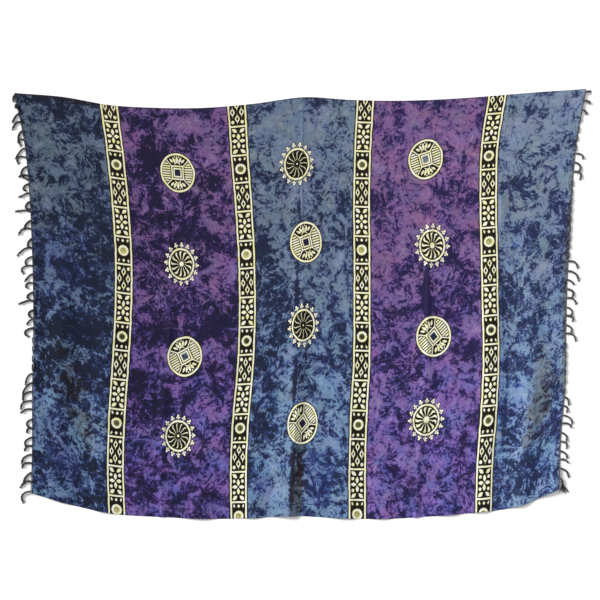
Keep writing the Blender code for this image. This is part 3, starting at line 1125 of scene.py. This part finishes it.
def dye_paleness(flat, tone_and_painted_shading):
    """How pale the dye came out: mottling in three sizes, the bursts and the placed spots, which also hold
    painted light and shade along the folds and the top edge.
    """
    paleness = PALENESS_BASE
    for name, share in PALENESS_SHARES:
        paleness = noise(flat, name) * share + paleness
    bursts = ramp(noise(flat, "burst places"), *BURST_RAMP)
    streaks = (star_bursts(flat) - 0.5) * (STREAKS_LEAST + bursts * STREAKS_MORE)
    return paleness + streaks + tone_and_painted_shading * TONE_SHARE


def blue_dyes(across, lower, shift):
    """The light, middle and dark blue, greyer where the shift is a minus and stronger where it is a plus."""
    greyed = ramp(-shift, *SHIFT_RAMP)
    royal = ramp(shift, *SHIFT_RAMP)
    result = []
    for plain, grey_ends, royal_ends in (
        (four_way(BLUE_LIGHT, across, lower), GREYED_LIGHT, ROYAL_LIGHT),
        (four_way(BLUE_MIDDLE, across, lower), GREYED_MIDDLE, ROYAL_MIDDLE),
        (mixed(*BLUE_DARK, across), GREYED_DARK, ROYAL_DARK),
    ):
        blue = mixed(plain, mixed(*grey_ends, across), greyed)
        result.append(mixed(blue, mixed(*royal_ends, across), royal))
    return result


def tinted(colour, flat, lower, purple):
    """The dye's red and blue drift apart from place to place, and the low purple goes towards violet."""
    red, _, blue = colour_noise(flat, "tint").split()
    violet = lower * purple
    red_swing = RED_TINT + purple * RED_TINT_PURPLE + lower * RED_TINT_LOWER + violet * RED_TINT_VIOLET
    red = 1.0 + (red - 0.5) * red_swing - violet * VIOLET_LESS_RED
    blue = 1.0 + (blue - 0.5) * BLUE_TINT
    return Place(colour).changed("MULTIPLY", Place.of(red, 1.0, blue)).socket


def dye_colour(flat, across, down, opening):
    """Mottled blue panels with two mottled purple ones between. A coin's opening has the other dye, and a
    dark line of painted shade of the hem runs along the top edge.
    """
    purple = most(*(filled(stroke(across, *panel), PANEL_SOFT) for panel in PURPLE_PANELS))
    purple = purple + opening * (1.0 - purple * 2.0)
    lower = ramp(down, *LOWER_RAMP)
    drift = (noise(flat, "drift") - 0.5) * (DRIFT_LEAST + lower * DRIFT_LOWER)
    fine_drift = (noise(flat, "fine drift") - 0.5) * FINE_DRIFT
    # The turn spots include painted shade and light along some folds and the top edge
    shift = Field(attribute("turn", "Fac")) + drift + fine_drift
    paleness = dye_paleness(flat, Field(attribute("tone_and_painted_shading", "Fac")))
    blue_light, blue_middle, blue_dark = blue_dyes(across, lower, shift)
    light = mixed(blue_light, four_way(PURPLE_LIGHT, across, lower), purple)
    middle = mixed(blue_middle, four_way(PURPLE_MIDDLE, across, lower), purple)
    dark = mixed(blue_dark, mixed(*PURPLE_DARK, across), purple)
    colour = mixed(dark, middle, ramp(paleness, *DARK_TO_MIDDLE))
    colour = mixed(colour, light, ramp(paleness - lower * LOWER_DARKER, *MIDDLE_TO_LIGHT))
    colour = mixed(colour, mixed(light, WHITE, PALE_WHITENED), ramp(paleness, *LIGHT_TO_PALE))
    # A dark line painted along the top edge as the hem's shade, fading towards the right
    hem_shade = filled(down - HEM_SHADE_DOWN, HEM_SHADE_SOFT) * (1.0 - across * HEM_SHADE_FADES) * HEM_SHADE_SHOWN
    return mixed(tinted(colour, flat, lower, purple), HEM_PAINTED_SHADE, hem_shade)


# Print. Distances are in mm, and the last result of band_print, coin_print and sun_print is 1 near a drawing.

def band_sun(place):
    """The small sun of a band: its ring, its olive disc, a swirl on the disc and a dark core."""
    x, y, _ = place.split()
    angle = Field.math("ARCTAN2", y, x)
    radius = place.length()
    scallop = Field.math("COSINE", angle * SCALLOPS) * (SCALLOP_DEPTH / 2)
    ring = abs(radius - scallop - BAND_SUN_RING) - (scallop + BAND_SUN_RING_HALF)
    swirl = Field.math("SINE", angle + radius * SWIRL_PER_MM)
    olive = radius - BAND_SUN_OLIVE
    swirl_line = most(olive, (SWIRL_LINE_FROM - swirl) * SWIRL_LINE_SHARPNESS)
    core = radius - BAND_SUN_CORE + swirl * CORE_UNEVEN
    return ring, olive, swirl_line, core


def row_paleness(turns):
    """How pale the suns of a row are. The first row's turns are 1."""
    row_turn = Field.math("FLOOR", turns) * (2 * math.pi / ROWS_IN_TURN) - PALE_PHASE
    return most(Field.math("SINE", row_turn) * PALE_SWING + PALE_BASE, 0.0)


def band_print(waver):
    """The cream drawing, the dark ground and the parts of the suns of the four bands."""
    x, turns, near = Place(attribute("band", "Vector")).split()
    x = x + waver
    turns = turns + waver * (WAVER_DOWN_BAND / BAND_REPEAT)
    y = Field.math("FRACT", turns) * BAND_REPEAT
    folded_x = abs(x)
    sun_y = y - (FLOWER_END + SUN_END) / 2
    flower = Place.of(folded_x, abs(y - FLOWER_END / 2))
    sun = Place.of(folded_x, abs(sun_y))
    vine = Place.of(folded_x, abs(y - (SUN_END + BAND_REPEAT) / 2))
    ring, olive, swirl_line, core = band_sun(Place.of(x, sun_y))
    eyes = most(drawn(vine, VINE_EYES), -drawn(vine, VINE_PUPILS))
    edge = stroke(folded_x, BAND_EDGE, BAND_LINE_HALF)
    rungs = least(y, BAND_REPEAT - y, abs(y - FLOWER_END), abs(y - SUN_END)) - BAND_LINE_HALF
    rungs = most(rungs, folded_x - BAND_RUNG_END)
    cream = least(drawn(flower, FLOWER_SHAPES), drawn(sun, SUN_LEAVES), ring)
    cream = least(cream, eyes, drawn(vine, VINE_DROPS), edge, rungs) + BAND_THINNER
    ground = folded_x - BAND_GROUND_EDGE
    return cream, ground, olive, swirl_line, core, row_paleness(turns), near


def medallion_place(name, waver):
    x, y, near = Place(attribute(name, "Vector")).split()
    return x + waver, y + waver * WAVER_DOWN_MEDALLION, near


def coin_print(waver):
    """A coin ring: a square frame round an opening, striped sides, and leaves above and below."""
    x, y, near = medallion_place("coin", waver)
    aside, above = abs(x), abs(y)
    radius = Place.of(x, y).length()
    box = most(aside, above)
    rim = stroke(radius, *COIN_RIM)
    frames = least(*(stroke(box, *frame) for frame in COIN_FRAMES))
    diagonals = abs(aside - above) * DIAGONAL_SLOPE - DIAGONAL_HALF
    diagonals = most(diagonals, DIAGONAL_SHOWN[0] - box, radius - DIAGONAL_SHOWN[1])
    fold = Field.math("FRACT", y / STRIPE_PITCH + 0.5)
    stripes = most(STRIPE_GAP_HALF - abs(fold - 0.5) * STRIPE_PITCH, STRIPES_FROM - box)
    stripes = most(stripes, radius - COIN_FIELD_TO, STRIPES_OFF_DIAGONAL - (aside - above))
    folded = Place.of(aside, above)
    arc = abs(folded.disc(*SPRIG_ARC)) - SPRIG_ARC_HALF
    sprig = least(drawn(folded, SPRIG_LEAVES), arc, folded.disc(*SPRIG_BERRY))
    sprig = most(sprig, radius - COIN_FIELD_TO, SPRIG_FROM - box, SPRIG_OFF_DIAGONAL - (above - aside))
    opening = box - COIN_OPENING
    ground = most(radius - COIN_GROUND_EDGE, -opening)
    return least(rim, frames, diagonals, stripes, sprig), ground, opening, near


def sun_print(waver):
    """A wheel of curved spokes inside a ring, with small knobs all round."""
    x, y, near = medallion_place("sun", waver)
    fat = Field(attribute("spoke_weight", "Fac"))
    radius = Place.of(x, y).length()
    turn = Field.math("ARCTAN2", y, x) / (2 * math.pi)

    share = (radius - SPOKE_START) / SPOKE_LENGTH
    bend = Field.math("SINE", share * SPOKE_WAVE) * SPOKE_WAVE_DEPTH + share * share * SPOKE_BEND
    away = abs(Field.math("FRACT", turn * SPOKES + bend) - 0.5) * radius * (2 * math.pi / SPOKES)
    width = SPOKE_THIN + share * share * (SPOKE_THICKER + fat * SPOKE_THICKER)
    spokes = most(away - width, SPOKE_SHOWN[0] - radius, radius - SPOKE_SHOWN[1])
    hub = radius - (HUB + fat * HUB_LARGER)
    ring = stroke(radius, *WHEEL_RING)

    along = (Field.math("FRACT", turn * KNOBS) - 0.5) * radius * (2 * math.pi / KNOBS)
    place = Place.of(abs(along), radius)
    stem = most(drawn(place, KNOB_STEM), KNOB_STEM_FROM - radius)
    knobs = least(drawn(place, KNOB_SHAPES), stem) + KNOB_THINNER
    ground = least(radius - WHEEL_GROUND_EDGE, knobs - KNOB_OUTLINE)
    return least(spokes, hub, ring, knobs), ground, most(knobs, KNOB_COLOUR_FROM - radius), near


def shown(distance, near):
    """1 where a drawing lies, and 0 outside it and far from it."""
    return filled(distance, PRINT_SOFT) * Field.math("GREATER_THAN", near, NEAR_LEVEL)


def ink_colour(across, wear):
    return mixed(mixed(*INK, across), mixed(*INK_WORN, across), wear)


def cream_colour(across, down, wear, knob_share):
    """Yellower and paler cream by turns, and a whiter one on the knobs of the wheels."""
    colour = mixed(four_way(CREAM, across, down), four_way(CREAM_PALE, across, down), wear)
    return mixed(colour, mixed(*KNOB_PALE, across), knob_share)


def cloth_colour(flat, across, down, threads):
    """The dye, the print over it and the shade of the threads, and where the cream lies."""
    waver = (noise(flat, "waver") - 0.5) * PRINT_WAVER
    bands, band_ground, olive, swirl, core, pale, band_near = band_print(waver)
    coins, coin_ground, opening, coin_near = coin_print(waver)
    suns, sun_ground, knobs, sun_near = sun_print(waver)
    dye = dye_colour(flat, across, down, shown(opening, coin_near))
    ground = most(shown(band_ground, band_near), shown(coin_ground, coin_near), shown(sun_ground, sun_near))
    cream = most(shown(bands, band_near), shown(coins, coin_near), shown(suns, sun_near))
    wear = ramp(noise(flat, "wear"), *WEAR_RAMP)
    colour = mixed(dye, ink_colour(across, wear), ground)
    disc_colour = mixed(OLIVE, CREAM[0], pale * PALE_SUN_SHOWN)
    colour = mixed(colour, disc_colour, shown(olive, band_near))
    colour = mixed(colour, OLIVE_DARK, shown(core, band_near) * (1.0 - pale) * CORE_SHOWN)
    colour = mixed(colour, OLIVE_DARK, shown(swirl, band_near) * SWIRL_SHOWN)
    knob_share = shown(knobs, sun_near) * KNOB_COLOUR_SHOWN
    colour = mixed(colour, cream_colour(across, down, wear, knob_share), cream)
    return mixed(colour, THREAD_DARK, ramp(threads, *THREAD_RAMP) * THREAD_SHOWN), cream


# Materials

def start_material(name, constants):
    """A new material and its shader, with the numbers and colours that are the same all over it."""
    material = bpy.data.materials.new(name)
    material.use_nodes = True
    Field.tree = material.node_tree
    shader = material.node_tree.nodes["Principled BSDF"]
    for key, value in constants.items():
        feed(shader.inputs[key], value)
    return material, shader


def add_bump(shader, relief, strength, distance):
    node = add_node("Bump", {"Strength": strength, "Distance": distance, "Height": relief})
    feed(shader.inputs["Normal"], node.outputs["Normal"])


def threads_across(flat, direction):
    inputs = {"Vector": flat, "Scale": 420.0, "Distortion": 0.6, "Detail": 1.0}
    return Field(add_node("TexWave", inputs, bands_direction=direction).outputs["Fac"])


def cloth_material():
    material, shader = start_material("batik_rayon", {
        "Specular IOR Level": 0.16,
        "Sheen Weight": 0.03,
        "Sheen Roughness": 0.45,
    })
    shares = Place(add_node("UVMap", (), uv_map="flat_cloth").outputs[0])
    across, up, _ = shares.split()
    flat = shares.changed("MULTIPLY", (CLOTH_WIDTH, CLOTH_HEIGHT, 0))
    threads = noise(flat, "threads")
    colour, cream = cloth_colour(flat, across, 1.0 - up, threads)
    feed(shader.inputs["Base Color"], colour)
    weave = threads_across(flat, "X") * threads_across(flat, "Y")
    relief = weave * WEAVE_RELIEF + noise(flat, "crumple") * CRUMPLE_RELIEF
    add_bump(shader, relief, strength=0.55, distance=1.0)
    rough = CLOTH_ROUGHNESS + threads * THREAD_ROUGHER - cream * CREAM_SMOOTHER
    feed(shader.inputs["Roughness"], rough)
    return material


def yarn_material():
    material, shader = start_material("fringe_yarn", {"Roughness": 0.8, "Sheen Weight": 0.2})
    place = Place(add_node("TexCoord", ()).outputs["Object"])
    fibres = noise(place, "yarn fibres")
    patches = ramp(noise(place, "yarn patches"), *YARN_PATCH_RAMP)
    # The right fringe is lighter than the left: painted light, as on the cloth
    rightward_painted_light = ramp(place.split()[0], *YARN_ENDS)
    colour = mixed(mixed(*YARN_LEFT, patches), mixed(*YARN_RIGHT, patches), rightward_painted_light)
    # Pale flecks painted on the fibres as highlights
    colour = mixed(colour, YARN_FIBRE_HIGHLIGHT, ramp(fibres, *YARN_FIBRE_HIGHLIGHT_RAMP) * YARN_FIBRE_HIGHLIGHT_SHOWN)
    feed(shader.inputs["Base Color"], colour)
    add_bump(shader, fibres, strength=0.5, distance=0.0004)
    return material


# Fringe

def edge_reader(end):
    """Two functions of a length along the edge, for its place and its directions, and the whole length."""
    side = -1 if end == "left" else 1
    rows = np.linspace(0, 1, EDGE_READS)
    across = np.zeros(rows.shape) if end == "left" else np.ones(rows.shape)
    x, y = plan(across, rows)
    z = lift(across, rows)
    lengths = np.concatenate(([0.0], np.cumsum(np.hypot(np.diff(x), np.diff(y)))))

    def place(length):
        spot = [float(np.interp(length, lengths, values)) for values in (x, y, z)]
        share_down = float(np.interp(length, lengths, rows))
        return Vector((spot[0] + shift_x, spot[1] + shift_y, spot[2])), share_down

    def directions(length):
        before = place(max(length - EDGE_DIRECTION_REACH, 0.0))[0]
        after = place(min(length + EDGE_DIRECTION_REACH, lengths[-1]))[0]
        downward = (after - before).xy.normalized()
        outward = Vector((-downward.y, downward.x))
        if outward.x * side < 0:
            outward.negate()
        return outward, downward

    return place, directions, float(lengths[-1])


def cross_frame(before, after):
    """Directions ahead, aside and above at a place between two points of a line."""
    ahead = (after - before).normalized()
    aside = ahead.cross(Vector((0, 0, 1)))
    if aside.length < STEEP:
        aside = ahead.cross(Vector((1, 0, 0)))
    aside.normalize()
    return ahead, aside, aside.cross(ahead)


def round_about(aside, above, turn):
    return aside * math.cos(turn) + above * math.sin(turn)


class Builder:
    """Collects tubes into one mesh."""

    def __init__(self):
        self.vertices = []
        self.faces = []

    def tube(self, points, radii, sides):
        """A round tube along points, closed at both ends."""
        base = len(self.vertices)
        count = len(points)
        for index, point in enumerate(points):
            before = points[max(index - 1, 0)]
            after = points[min(index + 1, count - 1)]
            _, aside, above = cross_frame(before, after)
            for step in range(sides):
                spot = point + round_about(aside, above, 2 * math.pi * step / sides) * radii[index]
                self.vertices.append((spot.x, spot.y, max(spot.z, FLOOR_GAP / 2)))
        for index in range(count - 1):
            for step in range(sides):
                after = (step + 1) % sides
                a = base + index * sides
                b = a + sides
                self.faces.append((a + step, a + after, b + after, b + step))
        self.faces.append(tuple(base + step for step in range(sides - 1, -1, -1)))
        last = base + (count - 1) * sides
        self.faces.append(tuple(last + step for step in range(sides)))

    def finish(self, name, material):
        mesh = bpy.data.meshes.new(name)
        mesh.from_pydata(self.vertices, [], self.faces)
        mesh.materials.append(material)
        return link_piece(name, mesh)


def strand_curve(zone, choice):
    """How far a strand's points lie outward and downward from its root, from 0 to 1 along it."""
    _, _, lies, reach, drop = zone
    if lies == "along":
        out_by = ALONG_REACH * choice.uniform(*ALONG_REACH_SPREAD)
        down_by = ALONG_DROP * choice.uniform(*ALONG_DROP_SPREAD)
        turn_by = ALONG_TURN
    else:
        out_by = reach * MM * choice.uniform(*FREE_REACH_SPREAD)
        down_by = drop * MM * choice.uniform(*FREE_DROP_SPREAD)
        turn_by = 1.0

    def read(along):
        turn = min(along / turn_by, 1.0) * math.pi / 2
        return out_by * math.sin(turn), down_by * (1 - math.cos(along * math.pi / 2))

    return read


def strand_starts(length_down, choice):
    starts = []
    length = FIRST_STRAND
    while length < length_down - LAST_STRAND:
        starts.append(length + choice.uniform(-PITCH_WOBBLE, PITCH_WOBBLE))
        length += STRAND_PITCH
    return starts


def strand_line(read, manner, extra):
    """A strand's offsets outward and downward: its solid's path, stretched, leaning, swaying and curled."""
    stretches, leans, curls = STRAND_MANNERS[manner]
    curl = extra.choice(curls)
    stretch = extra.uniform(*stretches)
    lean = extra.uniform(*leans)
    phase = extra.uniform(0, 2 * math.pi)
    spot = [0.0, 0.0]
    offsets = [(0.0, 0.0)]
    before = read(0.0)
    for step in range(1, STRAND_STEPS + 1):
        along = step / STRAND_STEPS
        after = read(along)
        out_step = (after[0] - before[0]) * stretch
        down_step = (after[1] - before[1]) * stretch
        before = after
        turn = lean + curl * float(ease((along - CURL_FROM) / (1 - CURL_FROM)))
        spot[0] += out_step * math.cos(turn) - down_step * math.sin(turn)
        spot[1] += out_step * math.sin(turn) + down_step * math.cos(turn)
        sway = SWAY * along * math.sin(phase + SWAY_WAVES * along)
        offsets.append((max(spot[0] + sway, LEAST_OUTWARD), spot[1] - sway))
    if manner == "along":
        offsets = [(out_by * ALONG_PULLED_IN, down_by) for out_by, down_by in offsets]
    return offsets


def strand_spots(root, outward, downward, offsets, height):
    """The middle line of a strand, which comes down from the edge's height to the floor."""
    spots = []
    for step, (out_by, down_by) in enumerate(offsets):
        spot = root + (outward * out_by + downward * down_by).to_3d()
        spot.z = height * (1 - step / STRAND_STEPS) ** 2 + PLY_RADIUS + PLY_OFFSET + FLOOR_GAP
        spots.append(spot)
    return spots


def add_plies(builder, spots, knot, start_turn, thick):
    """Two plies, twisted round each other from the root to the knot."""
    travelled = [0.0]
    for low, high in zip(spots, spots[1:]):
        travelled.append(travelled[-1] + (high - low).length)
    for ply in (0, math.pi):
        points = []
        radii = []
        for step in range(knot + 1):
            _, aside, above = cross_frame(spots[max(step - 1, 0)], spots[min(step + 1, STRAND_STEPS)])
            turn = start_turn + ply + 2 * math.pi * travelled[step] / TWIST_LENGTH
            points.append(spots[step] + round_about(aside, above, turn) * (PLY_OFFSET * thick))
            uneven = PLY_UNEVEN * math.sin(PLY_UNEVEN_STEP * step + start_turn)
            radii.append(PLY_RADIUS * thick * (1 + uneven))
        builder.tube(points, radii, PLY_SIDES)


def add_knot(builder, middle, frame_here, size):
    """Two loops of yarn round the strand, a little above its middle line."""
    ahead, aside, above = frame_here
    rise = Vector((0, 0, KNOT_RADIUS * size * KNOT_RISE))
    for loop in range(KNOT_LOOPS):
        centre = middle + ahead * ((loop - 0.5) * KNOT_LOOP_SPACING)
        points = []
        for step in range(KNOT_LOOP_STEPS):
            share = step / KNOT_LOOP_STEPS
            ring = round_about(aside, above, 2 * math.pi * share * KNOT_LOOP_TURNS + loop)
            ring *= KNOT_RADIUS * size * KNOT_LOOP_SHARE
            points.append(centre + ring + ahead * (KNOT_LOOP_SLANT * share) + rise)
        builder.tube(points, [PLY_RADIUS * size * KNOT_PLY] * len(points), KNOT_SIDES)


def add_tuft(builder, middle, frame_here, length, fibres, extra):
    """Loose fibres that fan out from the knot and come down to the floor."""
    ahead, aside = frame_here[:2]
    low = FIBRE_FLOOR_SHARE * PLY_RADIUS + FLOOR_GAP
    for _ in range(fibres):
        spread = extra.uniform(-TUFT_SPREAD, TUFT_SPREAD)
        rise = extra.uniform(0.0, TUFT_RISE)
        reach = length * extra.uniform(*TUFT_STRETCH)
        points = []
        for step in range(len(FIBRE_RADII)):
            share = step / (len(FIBRE_RADII) - 1)
            bend = spread * (0.5 + 0.5 * share)
            spot = middle + (ahead * math.cos(bend) + aside * math.sin(bend)) * (reach * share)
            spot.z = middle.z * (1 - share) + low * share + rise * 4 * share * (1 - share)
            points.append(spot)
        builder.tube(points, FIBRE_RADII, FIBRE_SIDES)


def make_strand(builder, spots, knot_at, fibres, plies, extra):
    """Two twisted plies, a knot, and a tuft of loose fibres."""
    knot = round(STRAND_STEPS * knot_at)
    start_turn = extra.uniform(0, math.pi)
    thick = extra.uniform(*plies)
    add_plies(builder, spots, knot, start_turn, thick)
    frame_here = cross_frame(spots[knot - 1], spots[knot + 1])
    add_knot(builder, spots[knot], frame_here, min(thick / FREE_PLIES[0], 1.0))
    tuft = max((spots[-1] - spots[knot]).length, LEAST_TUFT)
    add_tuft(builder, spots[knot], frame_here, tuft, fibres, extra)


def cord_spot(place, directions, length):
    """A point on the middle line of the edge cord."""
    point, _ = place(length)
    outward, _ = directions(length)
    spot = point + (outward * (SEAM_GAP + STRIP_WIDTH * CORD_IN_STRIP)).to_3d()
    spot.z = point.z + CORD_RISE + FLOOR_GAP
    return spot


def add_stitch(builder, centre, outward, downward, extra):
    loop = []
    for step in range(STITCH_STEPS + 1):
        share = step / STITCH_STEPS
        turn = -STITCH_OVERLAP + (math.pi + 2 * STITCH_OVERLAP) * share
        side = outward * (-math.cos(turn) * STITCH_OUT)
        slant = downward * (STITCH_SLANT * (share - 0.5) + extra.uniform(-STITCH_WOBBLE, STITCH_WOBBLE))
        spot = centre + (side + slant).to_3d()
        spot.z = centre.z + math.sin(turn) * STITCH_UP
        loop.append(spot)
    builder.tube(loop, [STITCH_RADIUS] * len(loop), STITCH_SIDES)


def make_edge_cord(builder, place, directions, length_down, extra):
    """The rolled edge that the strands grow from, with its whipping stitches."""
    points = []
    radii = []
    for step in range(CORD_STEPS + 1):
        points.append(cord_spot(place, directions, length_down * step / CORD_STEPS))
        radii.append(CORD_RADIUS + CORD_UNEVEN * math.sin(CORD_UNEVEN_STEP * step))
    builder.tube(points, radii, CORD_SIDES)
    length = STITCH_PITCH / 2
    while length < length_down:
        add_stitch(builder, cord_spot(place, directions, length), *directions(length), extra)
        length += STITCH_PITCH


def make_fringe(end, material):
    """The fringe of one end as knotted yarn, which starts where the strands of its solid start."""
    choice = random.Random(FRINGE_SEEDS[end])
    extra = random.Random(FRINGE_SEEDS[end] + 1)
    place, directions, length_down = edge_reader(end)
    zones = [zone for zone in FRINGE_ZONES if zone[0] == end]
    starts = strand_starts(length_down, choice)
    builder = Builder()
    make_edge_cord(builder, place, directions, length_down, extra)
    for index, start in enumerate(starts):
        point, share_down = place(start)
        outward, downward = directions(start)
        root = point + (outward * (SEAM_GAP + STRIP_WIDTH * ROOT_IN_STRIP)).to_3d()
        zone = next(item for item in zones if share_down <= item[1])
        manner = zone[2]
        knot_at, fibres = KNOT_AT, TUFT_FIBRES
        plies = ALONG_PLIES if manner == "along" else FREE_PLIES
        if manner == "free":
            manner = end + (" odd" if index % 2 else " even")
        corner = {0: "top", len(starts) - 1: "bottom"}.get(index)
        if (end, corner) in CORNER_STRANDS:
            manner = CORNER_STRANDS[end, corner]
            knot_at, fibres = LOOSE_KNOT_AT, LOOSE_FIBRES
        offsets = strand_line(strand_curve(zone, choice), manner, extra)
        spots = strand_spots(root, outward, downward, offsets, point.z)
        make_strand(builder, spots, knot_at, fibres, plies, extra)
    return builder.finish("fringe_yarn_" + end, material)


# Camera, floor and light

def make_camera():
    data = bpy.data.cameras.new("camera")
    data.sensor_width = SENSOR
    data.lens = SENSOR * CAMERA_HEIGHT / (PHOTO_WIDTH * PIXEL)
    camera = bpy.data.objects.new("camera", data)
    camera.location = (PHOTO_MIDDLE[0] + shift_x, PHOTO_MIDDLE[1] + shift_y, CAMERA_HEIGHT)
    bpy.context.scene.collection.objects.link(camera)
    bpy.context.scene.camera = camera


def make_floor():
    bpy.ops.mesh.primitive_plane_add(size=40, location=(0, 0, FLOOR_LEVEL))
    floor = bpy.context.object
    floor.name = "floor"
    material, _ = start_material("floor", {
        "Base Color": (0.95, 0.95, 0.95, 1),
        "Roughness": 0.9,
        "Specular IOR Level": 0.1,
    })
    floor.data.materials.append(material)


def make_light():
    world = bpy.data.worlds.new("studio")
    world.use_nodes = True
    background = world.node_tree.nodes["Background"]
    background.inputs["Color"].default_value = WHITE
    background.inputs["Strength"].default_value = 0.60
    bpy.context.scene.world = world
    data = bpy.data.lights.new("key", "SUN")
    data.energy = 3.62
    data.angle = 0.35
    data.color = (1.0, 0.99, 0.97)
    light = bpy.data.objects.new("key", data)
    light.location = (-2.8, 1.7, 2.05)
    light.rotation_euler = (-light.location).to_track_quat("-Z", "Y").to_euler()
    bpy.context.scene.collection.objects.link(light)


scene = bpy.context.scene
scene.view_settings.view_transform = "Standard"
scene.view_settings.look = "None"

make_camera()
make_floor()
make_light()

cloth_finish = cloth_material()
yarn_finish = yarn_material()
sheet = make_sheet(cloth_finish)
fringes = [make_fringe(end, yarn_finish) for end in ("left", "right")]

for piece, node, slot in (
    (sheet, "cloth", "batik_rayon"),
    (fringes[0], "fringe_left", "fringe_yarn"),
    (fringes[1], "fringe_right", "fringe_yarn"),
):
    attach(piece, "root")
    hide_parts(node)
